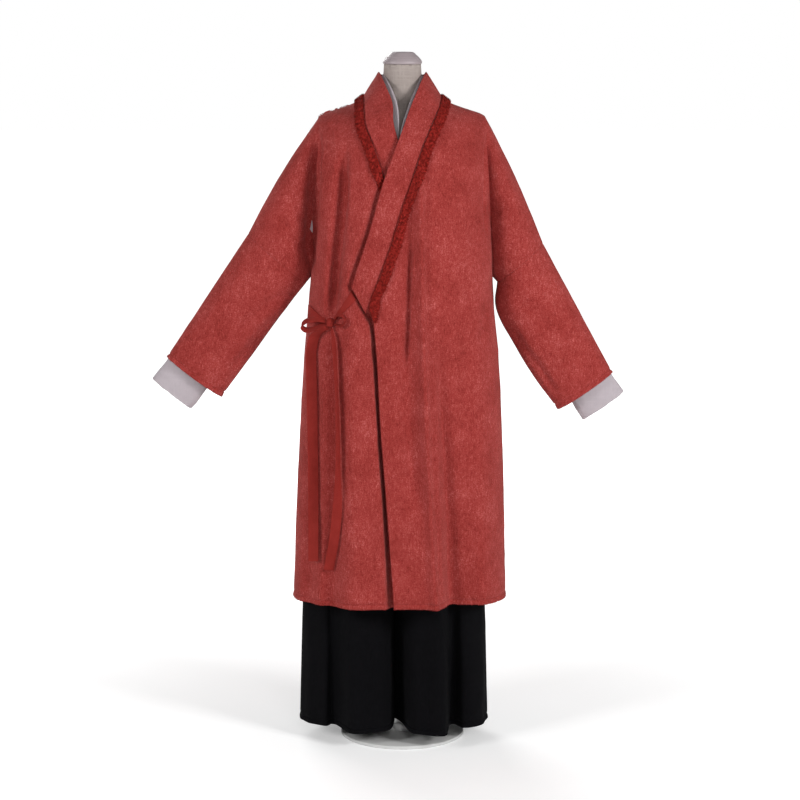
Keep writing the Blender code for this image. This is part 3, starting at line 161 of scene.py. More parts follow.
# A fold is a soft ridge (height above 0) or trough (below 0) that runs down a panel.
Fold = namedtuple("Fold", "panel z_top x_top x_mid z_low x_low height_top height_low width_top width_low sharp")
FOLDS = [
    Fold("under", 1.42, -0.127, -0.1375, 0.97, -0.160, -0.012, -0.022, 0.016, 0.016, 1),
    Fold("under", 1.02, -0.159, -0.152, 0.30, -0.168, -0.012, -0.016, 0.014, 0.020, 0),
    Fold("under", 1.40, -0.170, -0.177, 0.97, -0.182, 0.005, 0.008, 0.016, 0.014, 0),
    Fold("under", 1.30, -0.100, -0.110, 0.30, -0.108, 0.003, 0.012, 0.028, 0.034, 0),
    Fold("under", 0.92, -0.205, -0.212, 0.30, -0.216, -0.003, -0.014, 0.016, 0.018, 0),
    Fold("over", 1.32, 0.0190, 0.0120, 0.52, 0.040, -0.010, -0.016, 0.014, 0.026, 0),
    Fold("over", 1.38, 0.044, 0.053, 0.30, 0.082, 0.008, 0.015, 0.012, 0.016, 1),
    Fold("over", 1.02, 0.080, 0.097, 0.30, 0.112, -0.004, -0.038, 0.020, 0.024, -1),
    Fold("over", 1.00, 0.130, 0.140, 0.30, 0.150, -0.001, -0.024, 0.030, 0.030, 0),
    Fold("over", 1.15, 0.172, 0.182, 0.30, 0.192, 0.003, 0.004, 0.022, 0.020, 0),
    Fold("back", 1.36, -0.055, -0.062, 0.30, -0.070, -0.003, -0.018, 0.022, 0.026, 0),
    Fold("back", 1.30, 0.060, 0.056, 0.30, 0.052, -0.003, -0.016, 0.024, 0.028, 0),
    Fold("back", 1.20, -0.125, -0.134, 0.30, -0.146, -0.002, -0.017, 0.020, 0.024, 0),
    Fold("back", 1.24, 0.128, 0.132, 0.30, 0.136, -0.002, -0.019, 0.020, 0.024, 0),
    Fold("back", 1.10, -0.005, -0.008, 0.30, -0.012, 0.002, 0.010, 0.024, 0.028, 0),
]
FOLD_FADE = 0.10
FOLD_STEEP = 2.0

# Below its collar the right front passes behind the left one, and dips into the slit along its edge.
Dip = namedtuple("Dip", "z depth slit width")
DIPS = [
    Dip(0.337, 0.020, 0.026, 0.0230),
    Dip(0.450, 0.020, 0.028, 0.0150),
    Dip(0.600, 0.018, 0.034, 0.0110),
    Dip(0.757, 0.017, 0.030, 0.0095),
    Dip(0.930, 0.016, 0.026, 0.0130),
    Dip(1.080, 0.0130, 0.0130, 0.0160),
    Dip(1.430, 0.0125, 0.0125, 0.018),
    Dip(1.490, 0.000, 0.000, 0.030),
]

DIP_LEAD = 0.003

# The collar, from its pointed lower end to the shoulder and round to the nape: inner edge, then seam edge.
# Where in_y is 0 the inner edge lies on the chest.
Station = namedtuple("Station", "in_x in_y in_z out_x out_z")
COLLAR_FRONT = [
    Station(-0.1148, 0, 1.0793, -0.0830, 1.0220),
    Station(-0.0976, 0, 1.1358, -0.0537, 1.1000),
    Station(-0.0734, 0, 1.2079, -0.0250, 1.1820),
    Station(-0.0516, 0, 1.2886, 0.0000, 1.2680),
    Station(-0.0337, 0, 1.3444, 0.0200, 1.3200),
    Station(-0.0081, -0.1270, 1.4122, 0.0464, 1.3985),
    Station(0.0064, -0.1110, 1.4512, 0.0665, 1.4440),
    Station(0.0221, -0.0900, 1.4921, 0.0800, 1.4747),
    Station(0.0420, -0.0540, 1.5360, 0.0856, 1.4920),
    Station(0.0535, -0.0080, 1.5560, 0.0875, 1.5020),
]
COLLAR_BACK = [
    Station(0.0490, 0.0240, 1.5500, 0.0750, 1.4940),
    Station(0.0310, 0.0470, 1.5440, 0.0460, 1.4840),
    Station(0.0000, 0.0570, 1.5400, 0.0000, 1.4780),
]
COLLAR_LIFT = 0.0014
COLLAR_COLUMNS = 3
TRIM_WIDTH = 0.021
TRIM_TIP = 0.006
TRIM_COLUMNS = 6
TRIM_GAP = 0.0014
COLLAR_ROW = 7

# Sleeves: the seam above the elbow, the underarm edge and the cuff, as places seen from the front.
Sleeve = namedtuple("Sleeve", "side seam_top seam_low low_path cuff_top cuff_low crown under_top under_low")
SLEEVES = {
    "right": Sleeve(-1, (-0.3545, 1.1865), (-0.2210, 1.0750),
                    [(-0.2431, 1.0473), (-0.3005, 0.9711), (-0.3483, 0.9042)],
                    (-0.5445, 0.9018), (-0.4203, 0.8085), 0.007, (-0.5808, 0.8513), (-0.4894, 0.7792)),
    "left": Sleeve(1, (0.3230, 1.1650), (0.2180, 1.0760),
                   [(0.2160, 1.0120), (0.2590, 0.9288), (0.3076, 0.8499)],
                   (0.4860, 0.8652), (0.3613, 0.7785), 0.006, (0.5154, 0.8203), (0.4195, 0.7528)),
}
ARMPIT_Z = 1.087
SEAM_HALF_DEPTH = 0.054
CUFF_HALF_DEPTH = 0.036
WEDGE_COLUMNS = 4
SLEEVE_PLUMP = 0.010

# The ties close the robe on the wearer's right with a bow. Its loops are routes from the knot's middle.
TIE_WIDTH = 0.024
TIE_LIFT = 0.0016
TIE_REACH = 0.004
TIE_SAG = 0.030
TIE_LOOP_STEPS = 15
TIE_END_STEPS = 16
BAND_STEPS = 8
KNOT = (-0.1635, -0.1225, 0.9985)
KNOT_SIZE = (0.0105, 0.0085, 0.0105)
OUTER_LOOP = [(-0.0104, 0.000, 0.0025), (-0.030, 0.003, 0.0065), (-0.053, 0.010, 0.003), (-0.0655, 0.016, -0.0095),
              (-0.053, 0.012, -0.0195), (-0.031, 0.005, -0.0128), (-0.0101, 0.000, -0.0040)]
INNER_LOOP = [(0.0095, -0.002, 0.006), (0.015, -0.012, 0.018), (0.027, -0.020, 0.018), (0.034, -0.022, 0.007),
              (0.026, -0.019, -0.003), (0.0108, -0.005, -0.003)]
TieEnd = namedtuple("TieEnd", "route turn_top turn_low")
TIE_ENDS = {
    "tie_end_outer": TieEnd([(-0.1700, 0.9880), (-0.1960, 0.970), (-0.2075, 0.930), (-0.2070, 0.850), (-0.2050, 0.700),
                             (-0.2045, 0.550), (-0.2050, 0.443)], 8, -4),
    "tie_end_inner": TieEnd([(-0.1620, 0.9873), (-0.1555, 0.950), (-0.1480, 0.800), (-0.1475, 0.620),
                             (-0.1540, 0.520), (-0.1700, 0.424)], 72, 12),
}

# Trousers: the seam between the legs is beside the stand's pole.
INSEAM_X = -0.0205
WAIST_Z = 0.9895
CROTCH_Z = 0.700
RISE_Z = 0.815
TROUSER_HEM = 0.037
WAISTBAND_TOP = 1.026
LEG_SHEAR = -0.11
LEG_LOBE_TOP = 0.62
LOBE_POWER = 8
Hip = namedtuple("Hip", "z half front back")
HIPS = [
    Hip(0.700, 0.1860, 0.102, 0.1080),
    Hip(0.840, 0.1740, 0.112, 0.1130),
    Hip(0.910, 0.1640, 0.113, 0.1100),
    Hip(0.9895, 0.1410, 0.1098, 0.1008),
]
Leg = namedtuple("Leg", "z half front back")
LEGS = [
    Leg(0.037, 0.1110, 0.064, 0.082),
    Leg(0.320, 0.1070, 0.068, 0.084),
    Leg(0.700, 0.0980, 0.086, 0.106),
]
Lobe = namedtuple("Lobe", "leg face x width height")
LOBES = [
    Lobe("right", "front", -0.086, 0.068, 0.078),
    Lobe("right", "front", -0.206, 0.026, 0.022),
    Lobe("left", "front", 0.044, 0.052, 0.098),
    Lobe("left", "front", 0.156, 0.036, 0.034),
    Lobe("right", "back", -0.170, 0.034, 0.034),
    Lobe("right", "back", -0.070, 0.036, 0.042),
    Lobe("left", "back", 0.028, 0.034, 0.044),
    Lobe("left", "back", 0.125, 0.036, 0.036),
]
LEG_GAP = 0.0001
SLEEVE_GAP = 0.0001

# How finely the cloth is made: rows between a body's rows, shares across a panel, and close rows at hems.
BODY_STEPS = 6
SHOULDER_STEPS = 8
STITCH_LINE = 0.011
HEM_STEPS = np.array([0, 0.0006, 0.0016, 0.003, 0.006, 0.009, STITCH_LINE, 0.013, 0.016, 0.020, 0.026])
HEM_ROW = 6
BODY_SHARES = np.concatenate([[0, 0.002, 0.005, 0.010, 0.018], np.linspace(0.03, 0.45, 110), np.linspace(0.46, 1, 60)])
WEDGE_SHARES = np.concatenate([np.linspace(0, 0.94, 20), [0.965, 0.983, 0.994, 1.0]])
SEAM_SHARES = np.array([0, 0.003, 0.008, 0.016])
CUFF_SHARES = np.array([0, 0.002, 0.006, 0.012, 0.022, 0.030, 0.036, 0.042, 0.050])
EDGE_SHARES = np.array([0, 0.012, 0.03, 0.06, 0.11, 0.18, 0.27, 0.38, 0.5, 0.62, 0.73, 0.82, 0.89, 0.94, 0.97, 0.988, 1])
TROUSER_SHARES = np.concatenate([[0, 0.004, 0.012], np.linspace(0.03, 0.97, 110), [0.988, 0.996, 1]])
SLEEVE_FINE = 50
SLEEVE_FINE_SIDES = 112
COLLAR_FINE = 340
TRIM_FINE = 520
BAND_FINE = 28
LOOP_FINE = 48
END_FINE = 90
KNOT_RINGS = 20
KNOT_SIDES = 36
PILE_COUNT = 9000
CREASE_STEPS = 60
STEEP = 2.5
SEAM_REACH = 0.012
FRINGE_SPREAD = 0.0012
FRINGE_COUNT = 9000
EDGE_ROWS = 60
EDGE_ROUND = 0.7
EDGE_LEAST = 0.12
WAVE_PERIOD = 0.314

def ramp(x, low, high):
    """A smooth step from 0 at low to 1 at high."""
    t = min(max((x - low) / (high - low), 0.0), 1.0)
    return t * t * (3 - 2 * t)


def read(rows, at, column, key="z"):
    """A table's column at any value of its key, on a curve through the rows that never overshoots them."""
    keys = [getattr(r, key) for r in rows]
    values = [getattr(r, column) for r in rows]
    if at <= keys[0]:
        return values[0]
    if at >= keys[-1]:
        return values[-1]
    i = max(j for j, k in enumerate(keys) if k <= at)
    span = keys[i + 1] - keys[i]
    t = (at - keys[i]) / span

    def slope(j):
        if j == 0 or j == len(keys) - 1:
            return (values[i + 1] - values[i]) / span
        before = (values[j] - values[j - 1]) / (keys[j] - keys[j - 1])
        after = (values[j + 1] - values[j]) / (keys[j + 1] - keys[j])
        return 0.0 if before * after <= 0 else 2 * before * after / (before + after)

    rise = t * t * (3 - 2 * t)
    lead_in = t * (1 - t) ** 2 * span * slope(i)
    lead_out = t * t * (1 - t) * span * slope(i + 1)
    return values[i] * (1 - rise) + values[i + 1] * rise + lead_in - lead_out


def smooth_curve(points):
    """Points close together on a smooth curve through the given points, or through each column of a grid."""
    p = [np.array(q, float) for q in points]
    p = [2 * p[0] - p[1], *p, 2 * p[-1] - p[-2]]
    fine = []
    for a, b, c, d in zip(p, p[1:], p[2:], p[3:]):
        for t in np.linspace(0, 1, 16, endpoint=False):
            fine.append(0.5 * (2 * b + (c - a) * t + (2 * a - 5 * b + 4 * c - d) * t**2
                               + (3 * b - a - 3 * c + d) * t**3))
    return np.array([*fine, p[-2]])


def smooth_path(points, count):
    """count points, evenly spaced, on a smooth curve through the given points."""
    fine = smooth_curve(points)
    along = np.concatenate([[0], np.cumsum(np.linalg.norm(np.diff(fine, axis=0), axis=1))])
    return np.array([[np.interp(s, along, fine[:, k]) for k in range(fine.shape[1])]
                     for s in np.linspace(0, along[-1], count)])


def unit(v):
    return v / np.linalg.norm(v)


def unit_rows(vectors):
    return vectors / np.linalg.norm(vectors, axis=1, keepdims=True)


# Meshes

def mesh_piece(name, points, faces, look, smooth_below=50):
    """A piece from points and faces, which rides on the model's one body and takes its material from a look."""
    mesh = bpy.data.meshes.new(name)
    mesh.from_pydata(np.asarray(points, float).tolist(), [], [list(map(int, f)) for f in faces])
    mesh.materials.append(LOOKS[look].material)
    mesh.shade_smooth()
    mesh.set_sharp_from_angle(angle=math.radians(smooth_below))
    piece = bpy.data.objects.new(name, mesh)
    bpy.context.scene.collection.objects.link(piece)
    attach(piece, "root")
    return piece


def split(points, quads):
    """Quads as triangles, each split on its shorter diagonal. A quad with two equal corners gives one."""
    q = np.asarray(quads)
    short = (np.linalg.norm(points[q[:, 0]] - points[q[:, 2]], axis=1)
             <= np.linalg.norm(points[q[:, 1]] - points[q[:, 3]], axis=1))[:, None]
    tris = np.concatenate([np.where(short, q[:, [0, 1, 2]], q[:, [0, 1, 3]]),
                           np.where(short, q[:, [0, 2, 3]], q[:, [1, 2, 3]])])
    whole = (tris[:, 0] != tris[:, 1]) & (tris[:, 1] != tris[:, 2]) & (tris[:, 2] != tris[:, 0])
    return tris[whole]


def point_normals(points, tris):
    a, b, c = (points[tris[:, k]] for k in range(3))
    across = np.cross(b - a, c - a)
    total = np.zeros_like(points)
    for k in range(3):
        np.add.at(total, tris[:, k], across)
    return total / np.maximum(np.linalg.norm(total, axis=1, keepdims=True), 1e-12)


def free_edges(tris, count):
    """The edges of an open sheet that only one triangle has, in that triangle's direction."""
    edges = np.concatenate([tris[:, [0, 1]], tris[:, [1, 2]], tris[:, [2, 0]]]).astype(np.int64)
    return edges[~np.isin(edges[:, 0] * count + edges[:, 1], edges[:, 1] * count + edges[:, 0])]


def from_edges(points, edges):
    """Each point's distance from a sheet's free edges."""
    ends = points[edges]
    shares = np.linspace(0, 1, 10, endpoint=False)
    dense = np.concatenate([ends[:, 0] + (ends[:, 1] - ends[:, 0]) * t for t in shares])
    tree = kdtree.KDTree(len(dense))
    for i, p in enumerate(dense):
        tree.insert(p, i)
    tree.balance()
    return np.array([tree.find(p)[2] for p in points])


def merged(points, quads):
    """Points that lie at the same place become one."""
    whole, index = np.unique(np.round(points, 7), axis=0, return_inverse=True)
    return whole, index.reshape(-1)[np.asarray(quads)]


def cloth(name, points, quads, wall, look, relief=None, thin=None):
    """A sheet with its outer face through the points, its inner face a wall further in, and round edges."""
    tris = split(points, quads)
    if relief is not None:
        points = points + relief(points, point_normals(points, tris))
    normals = point_normals(points, tris)
    edges = free_edges(tris, len(points))
    away = np.clip(from_edges(points, edges) / (EDGE_ROUND * wall), EDGE_LEAST, 1)
    thickness = np.full(len(points), wall) if thin is None else wall * thin(points)
    half = thickness / 2 * np.sqrt(1 - (1 - away) ** 2)
    outer = points - normals * (thickness / 2 - half)[:, None]
    inner = points - normals * (thickness / 2 + half)[:, None]
    below = len(points)
    rim = np.column_stack([edges[:, 1], edges[:, 0], edges[:, 0] + below, edges[:, 1] + below])
    faces = [*tris, *(tris[:, ::-1] + below), *rim]
    piece = mesh_piece(name, np.concatenate([outer, inner]), faces, look)
    return piece, BVHTree.FromPolygons(outer.tolist(), tris.tolist())


def grid_quads(rows, columns, ring=False, start=0):
    r, c = np.meshgrid(np.arange(rows - 1), np.arange(columns if ring else columns - 1), indexing="ij")
    d = (c + 1) % columns
    quads = np.stack([r * columns + c, r * columns + d, (r + 1) * columns + d, (r + 1) * columns + c], axis=-1)
    return quads.reshape(-1, 4) + start


def grid_cloth(name, grid, wall, look, out, ring=False, relief=None):
    """A sheet through a grid of points. out is a direction or a function of a point that gives its outer side."""
    grid = np.asarray(grid)
    points = grid.reshape(-1, 3)
    quads = grid_quads(grid.shape[0], grid.shape[1], ring)
    tris = split(points, quads)
    ways = out(points) if callable(out) else np.array(out, float)
    if np.sum(point_normals(points, tris) * ways) < 0:
        quads = quads[:, ::-1]
    return cloth(name, points, quads, wall, look, relief)


def lathe(name, turns, sides, look):
    """A turned solid through rings of (z, radius), with its ends closed."""
    turn = np.linspace(0, 2 * math.pi, sides, endpoint=False)
    points = [(r * math.cos(t), r * math.sin(t), z) for z, r in turns for t in turn]
    faces = [tuple(q) for q in grid_quads(len(turns), sides, ring=True)]
    faces += [tuple(range(sides))[::-1], tuple(range((len(turns) - 1) * sides, len(turns) * sides))]
    return mesh_piece(name, points, faces, look, 35)


def resample(grid, rows, shares):
    """A grid with rows on smooth curves down its columns, and columns at the given shares.

    All columns share the rows' stations, which are even in the columns' mean length. Only the first three
    values, the place, count in that length.
    """
    fine = smooth_curve(grid)
    steps = np.linalg.norm(np.diff(fine[:, :, :3], axis=0), axis=2).mean(axis=1)
    along = np.concatenate([[0], np.cumsum(steps)])
    stations = np.linspace(0, along[-1], rows)
    count, depth = fine.shape[1:]
    down = np.stack([[np.interp(stations, along, fine[:, c, k]) for k in range(depth)] for c in range(count)])
    down = down.transpose(2, 0, 1)
    at = np.linspace(0, 1, count)
    out = np.empty((rows, len(shares), depth))
    for k in range(depth):
        for r in range(rows):
            out[r, :, k] = np.interp(shares, at, down[r, :, k])
    return out


CLOSE_REACH = 0.004
PRESS_START = 0.004
PRESS_CLEAR = 0.0042
PRESS_MOST = 0.010


def laid(grid, normals, tree, gap, close=False):
    """The grid, moved out along its normals until each point clears the surface below by the gap, or both ways, close."""
    rows, columns, _ = grid.shape
    lift = np.full((rows, columns), gap)
    for r in range(rows):
        for c in range(columns):
            way = Vector(normals[r, c])
            hit = tree.ray_cast(Vector(grid[r, c]) + way * LIFT_REACH, -way, 2 * LIFT_REACH)[0]
            if hit is not None:
                rise = (hit - Vector(grid[r, c])).dot(way) + gap
                lift[r, c] = np.clip(rise, -CLOSE_REACH, CLOSE_REACH) if close else max(gap, rise)
    if close:
        return grid + normals * lift[:, :, None]
    spread = lift.copy()
    for axis in (0, 1):
        for step in (-1, 1):
            moved = np.roll(lift, step, axis)
            edge = [slice(None), slice(None)]
            edge[axis] = 0 if step == 1 else -1
            moved[tuple(edge)] = lift[tuple(edge)]
            spread = np.maximum(spread, moved)
    return grid + normals * spread[:, :, None]


def refined(name, node, look, levels, wave=0.0, pitch=0.05):
    """A smooth, finer copy of a soft solid, with slight waves that move both its faces alike."""
    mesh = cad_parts[node].data.copy()
    work = bmesh.new()
    work.from_mesh(mesh)
    bmesh.ops.remove_doubles(work, verts=work.verts, dist=2e-5)
    bmesh.ops.join_triangles(work, faces=work.faces, angle_face_threshold=math.radians(50),
                             angle_shape_threshold=math.radians(80))
    crease = work.edges.layers.float.new("crease_edge")
    for edge in work.edges:
        sharp = len(edge.link_faces) == 2 and edge.calc_face_angle() > math.radians(55)
        edge[crease] = 0.9 if sharp else 0.0
    work.to_mesh(mesh)
    work.free()
    mesh.materials.clear()
    mesh.materials.append(LOOKS[look].material)
    piece = bpy.data.objects.new(name, mesh)
    bpy.context.scene.collection.objects.link(piece)
    finer = piece.modifiers.new("finer", "SUBSURF")
    finer.levels = finer.render_levels = levels
    view = bpy.context.evaluated_depsgraph_get()
    smooth = bpy.data.meshes.new_from_object(piece.evaluated_get(view))
    piece.modifiers.clear()
    piece.data = smooth
    if wave:
        for vertex in smooth.vertices:
            vertex.co += noise.noise_vector(vertex.co / pitch) * wave
    smooth.shade_smooth()
    smooth.set_sharp_from_angle(angle=math.radians(60))
    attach(piece, "root")
    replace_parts(piece, node)
    return piece


def stitches(name, path, normals, look, length=0.0035, gap=0.0020, width=0.0006, rise=0.0004):
    """A row of small thread stitches along a path, pressed into the cloth."""
    path, normals = np.asarray(path), np.asarray(normals)
    along = np.concatenate([[0], np.cumsum(np.linalg.norm(np.diff(path, axis=0), axis=1))])
    points, faces = [], []
    for start in np.arange(gap, along[-1] - length, length + gap):
        ends = [np.array([np.interp(s, along, path[:, k]) for k in range(3)]) for s in (start, start + length)]
        way = unit(ends[1] - ends[0])
        up = unit(np.array([np.interp(start, along, normals[:, k]) for k in range(3)]))
        side = unit(np.cross(way, up)) * width
        first = len(points)
        rings = [(0.0, 0.4, -1.0), (0.2, 1.0, 1.0), (0.8, 1.0, 1.0), (1.0, 0.4, -1.0)]
        for share, wide, high in rings:
            middle = ends[0] + (ends[1] - ends[0]) * share + up * rise * (high - 1) / 2
            points += [middle - side * wide - up * rise, middle + up * rise, middle + side * wide - up * rise]
        for k in range(len(rings) - 1):
            a, b = first + 3 * k, first + 3 * k + 3
            faces += [(a + i, a + (i + 1) % 3, b + (i + 1) % 3, b + i) for i in range(3)]
        faces += [(first, first + 2, first + 1), (first + 9, first + 10, first + 11)]
    return mesh_piece(name, points, faces, look)


def spikes(name, roots, ways, lengths, width, look):
    """Short pile fibres: narrow closed spikes from their roots."""
    ways = ways / np.linalg.norm(ways, axis=1, keepdims=True)
    flat = np.cross(ways, [0.31, 0.86, 0.41])
    flat /= np.linalg.norm(flat, axis=1, keepdims=True)
    other = np.cross(ways, flat)
    corners = []
    for k in range(3):
        turn = 2 * math.pi * k / 3
        corners.append(roots + (flat * math.cos(turn) + other * math.sin(turn)) * width)
    tips = roots + ways * lengths[:, None]
    count = len(roots)
    points = np.concatenate([*corners, tips])
    at = np.arange(count)
    a, b, c, tip = at, at + count, at + 2 * count, at + 3 * count
    faces = np.concatenate([np.stack(f, axis=1) for f in ((a, b, tip), (b, c, tip), (c, a, tip), (c, b, a))])
    return mesh_piece(name, points, faces, look)

# Materials

class Nodes:
    """A material's nodes, placed by the model's own coordinates in metres."""

    def __init__(self, name):
        self.material = bpy.data.materials.new(name)
        self.material.use_nodes = True
        self.tree = self.material.node_tree
        self.shader = self.tree.nodes["Principled BSDF"]
        self.place = self.tree.nodes.new("ShaderNodeTexCoord").outputs["Object"]

    def node(self, kind, inputs=None, **settings):
        made = self.tree.nodes.new("ShaderNode" + kind)
        for key, value in settings.items():
            setattr(made, key, value)
        for key, value in (inputs or {}).items():
            if isinstance(value, bpy.types.NodeSocket):
                self.tree.links.new(value, made.inputs[key])
            else:
                made.inputs[key].default_value = value
        return made

    def stretched(self, scale):
        return self.node("Mapping", {"Vector": self.place, "Scale": scale}).outputs["Vector"]

    def grain(self, scale, detail=3.0, stretch=(1, 1, 1)):
        """Noise with a lump of about 1/scale metres."""
        return self.node("TexNoise", {"Vector": self.stretched(stretch), "Scale": scale, "Detail": detail,
                                      "Roughness": 0.6}).outputs["Fac"]

    def threads(self, pitch, axis, uneven=0.5):
        """Parallel threads across an axis, a pitch apart."""
        return self.node("TexWave", {"Vector": self.place, "Scale": WAVE_PERIOD / pitch, "Distortion": uneven,
                                     "Detail": 1.0, "Detail Scale": 2.0},
                         wave_type="BANDS", bands_direction=axis).outputs["Fac"]

    def math(self, operation, a, b):
        return self.node("Math", {0: a, 1: b}, operation=operation).outputs[0]

    def sum(self, *parts):
        """The sum of (share, socket) pairs."""
        total = None
        for share, socket in parts:
            part = self.math("MULTIPLY", socket, share)
            total = part if total is None else self.math("ADD", total, part)
        return total

    def tones(self, fac, stops):
        ramp_node = self.node("ValToRGB", {"Fac": fac})
        elements = ramp_node.color_ramp.elements
        while len(elements) < len(stops):
            elements.new(0.5)
        for element, (at, colour) in zip(elements, stops):
            element.position = at
            element.color = (*colour, 1.0)
        return ramp_node.outputs["Color"]

    def finish(self, colour, roughness, height=None, relief=0.001, sheen=0.0, tint=(1, 1, 1), sheen_rough=0.5):
        self.tree.links.new(colour, self.shader.inputs["Base Color"])
        self.shader.inputs["Roughness"].default_value = roughness
        self.shader.inputs["Sheen Weight"].default_value = sheen
        self.shader.inputs["Sheen Roughness"].default_value = sheen_rough
        self.shader.inputs["Sheen Tint"].default_value = (*tint, 1.0)
        self.shader.inputs["Specular IOR Level"].default_value = 0.12
        if height is not None:
            bump = self.node("Bump", {"Height": height, "Distance": relief, "Strength": 1.0})
            self.tree.links.new(bump.outputs["Normal"], self.shader.inputs["Normal"])
        return self.material


def fleece(name):
    n = Nodes(name)
    cloud, blotch, fleck = n.grain(14), n.grain(90, 3), n.grain(430, 3)
    streak = n.grain(380, 3, (1, 1, 0.22))
    fac = n.sum((0.20, cloud), (0.14, blotch), (0.42, fleck), (0.24, streak))
    colour = n.tones(fac, [(0.36, (0.190, 0.017, 0.012)), (0.46, (0.330, 0.036, 0.030)),
                           (0.54, (0.420, 0.056, 0.050)), (0.64, (0.620, 0.150, 0.135))])
    height = n.sum((0.5, n.grain(900, 2)), (0.7, fleck), (0.6, streak), (0.3, blotch))
    return n.finish(colour, 0.95, height, 0.0022, 0.12, (1.0, 0.62, 0.58))


def pile(name):
    n = Nodes(name)
    lump, fleck = n.grain(190, 3), n.grain(800, 2)
    fac = n.sum((0.6, lump), (0.4, fleck))
    colour = n.tones(fac, [(0.36, (0.075, 0.003, 0.002)), (0.50, (0.240, 0.013, 0.009)),
                           (0.62, (0.430, 0.032, 0.025))])
    return n.finish(colour, 0.9, n.sum((0.6, lump), (0.5, fleck)), 0.0022, 0.15, (0.9, 0.3, 0.25), 0.35)


def twill(name):
    n = Nodes(name)
    thread = n.threads(0.0011, "DIAGONAL")
    cloud, fleck = n.grain(40), n.grain(900, 2)
    fac = n.sum((0.4, cloud), (0.3, fleck), (0.3, thread))
    colour = n.tones(fac, [(0.30, (0.215, 0.016, 0.012)), (0.55, (0.300, 0.025, 0.019)),
                           (0.80, (0.380, 0.038, 0.030))])
    return n.finish(colour, 0.78, n.sum((0.7, thread), (0.4, fleck)), 0.0003, 0.04, (1.0, 0.5, 0.45))


def weave(name, pitch, stops, roughness, relief, sheen=0.0, tint=(1, 1, 1), slub=0.35):
    """A plain weave: threads both ways, some of them thicker and lighter than others."""
    n = Nodes(name)
    warp, weft = n.threads(pitch, "X"), n.threads(pitch, "Z")
    slubs = n.math("MAXIMUM", n.grain(300, 2, (1, 1, 0.06)), n.grain(300, 2, (0.06, 0.06, 1)))
    fac = n.sum((0.20, warp), (0.20, weft), (slub, slubs), (0.60 - slub, n.grain(60, 3)))
    colour = n.tones(fac, stops)
    return n.finish(colour, roughness, n.sum((0.5, warp), (0.5, weft), (0.5, slubs)), relief, sheen, tint)


def painted(name, stops, roughness, relief):
    n = Nodes(name)
    cloud, fleck = n.grain(30, 3), n.grain(700, 2)
    colour = n.tones(n.sum((0.6, cloud), (0.4, fleck)), stops)
    made = n.finish(colour, roughness, n.sum((1.0, fleck)), relief)
    n.shader.inputs["Specular IOR Level"].default_value = 0.5
    return made


Look = namedtuple("Look", "material slot")
LOOKS = {
    "robe": Look(fleece("robe_fleece"), "robe"),
    "trim": Look(pile("trim_pile"), "trim"),
    "tape": Look(twill("tie_tape"), "tape"),
    "thread": Look(twill("sewing_thread"), "tape"),
    "under": Look(weave("under_cotton", 0.0009, [(0.30, (0.45, 0.395, 0.425)), (0.55, (0.53, 0.470, 0.500)),
                                                 (0.80, (0.61, 0.550, 0.580))], 0.85, 0.0002, 0.05), "under"),
    "white thread": Look(weave("cuff_thread", 0.0004, [(0.3, (0.42, 0.39, 0.42)), (0.7, (0.60, 0.57, 0.60))],
                               0.8, 0.0001), "under"),
    "trousers": Look(weave("trouser_twill", 0.0008, [(0.30, (0.0012, 0.0011, 0.0016)),
                                                     (0.55, (0.0024, 0.0022, 0.0032)),
                                                     (0.80, (0.0050, 0.0046, 0.0060))], 0.95, 0.0002), "trousers"),
    "form": Look(weave("form_linen", 0.0013, [(0.30, (0.33, 0.275, 0.250)), (0.50, (0.44, 0.375, 0.345)),
                                              (0.72, (0.56, 0.490, 0.455))], 0.9, 0.0004, slub=0.45), "form"),
    "cap": Look(painted("cap_satin", [(0.3, (0.375, 0.310, 0.325)), (0.7, (0.430, 0.360, 0.375))],
                        0.42, 0.00015), "cap"),
    "stand": Look(painted("stand_enamel", [(0.3, (0.70, 0.70, 0.69)), (0.7, (0.78, 0.78, 0.77))],
                          0.35, 0.0001), "stand"),
}


# The robe's surface

def shoulder_z(shell, x):
    return read(SHOULDER, abs(x), "z", "x") - shell.drop


def middle_and_half(shell, z):
    """The middle and half the width of a shell's plan at a height."""
    left = read(shell.rings, min(z, BUST_Z), "left")
    right = read(shell.rings, min(z, BUST_Z), "right")
    return (left - right) / 2, (left + right) / 2


def surface_y(shell, face, x, z):
    """Y of a shell's outer face, -1 for the front or 1 for the back."""
    middle, half = middle_and_half(shell, z)
    across = min(abs(x - middle) / half, 1.0)
    plan = (1 - across**PLAN_POWER) ** (1 / PLAN_POWER)
    rise = 1.0
    if z > BUST_Z:
        up = min((z - BUST_Z) / (shoulder_z(shell, x) - BUST_Z), 1.0)
        rise = (1 - up * up) ** (shell.closing / 2)
    depth = read(shell.rings, min(z, BUST_Z), "front" if face < 0 else "back")
    return face * depth * plan * rise, min(1.0, 3 * plan) * rise


def height_at(shell, x, run):
    """run is 0 on the shoulder line, 1 at the bust, and past that it grows by 1 for each metre down."""
    if run > 1:
        return BUST_Z + 1 - run
    return BUST_Z + (shoulder_z(shell, x) - BUST_Z) * math.cos(run * math.pi / 2)


def run_at(shell, x, z):
    if z <= BUST_Z:
        return 1 + BUST_Z - z
    return math.acos(min((z - BUST_Z) / (shoulder_z(shell, x) - BUST_Z), 1.0)) / (math.pi / 2)


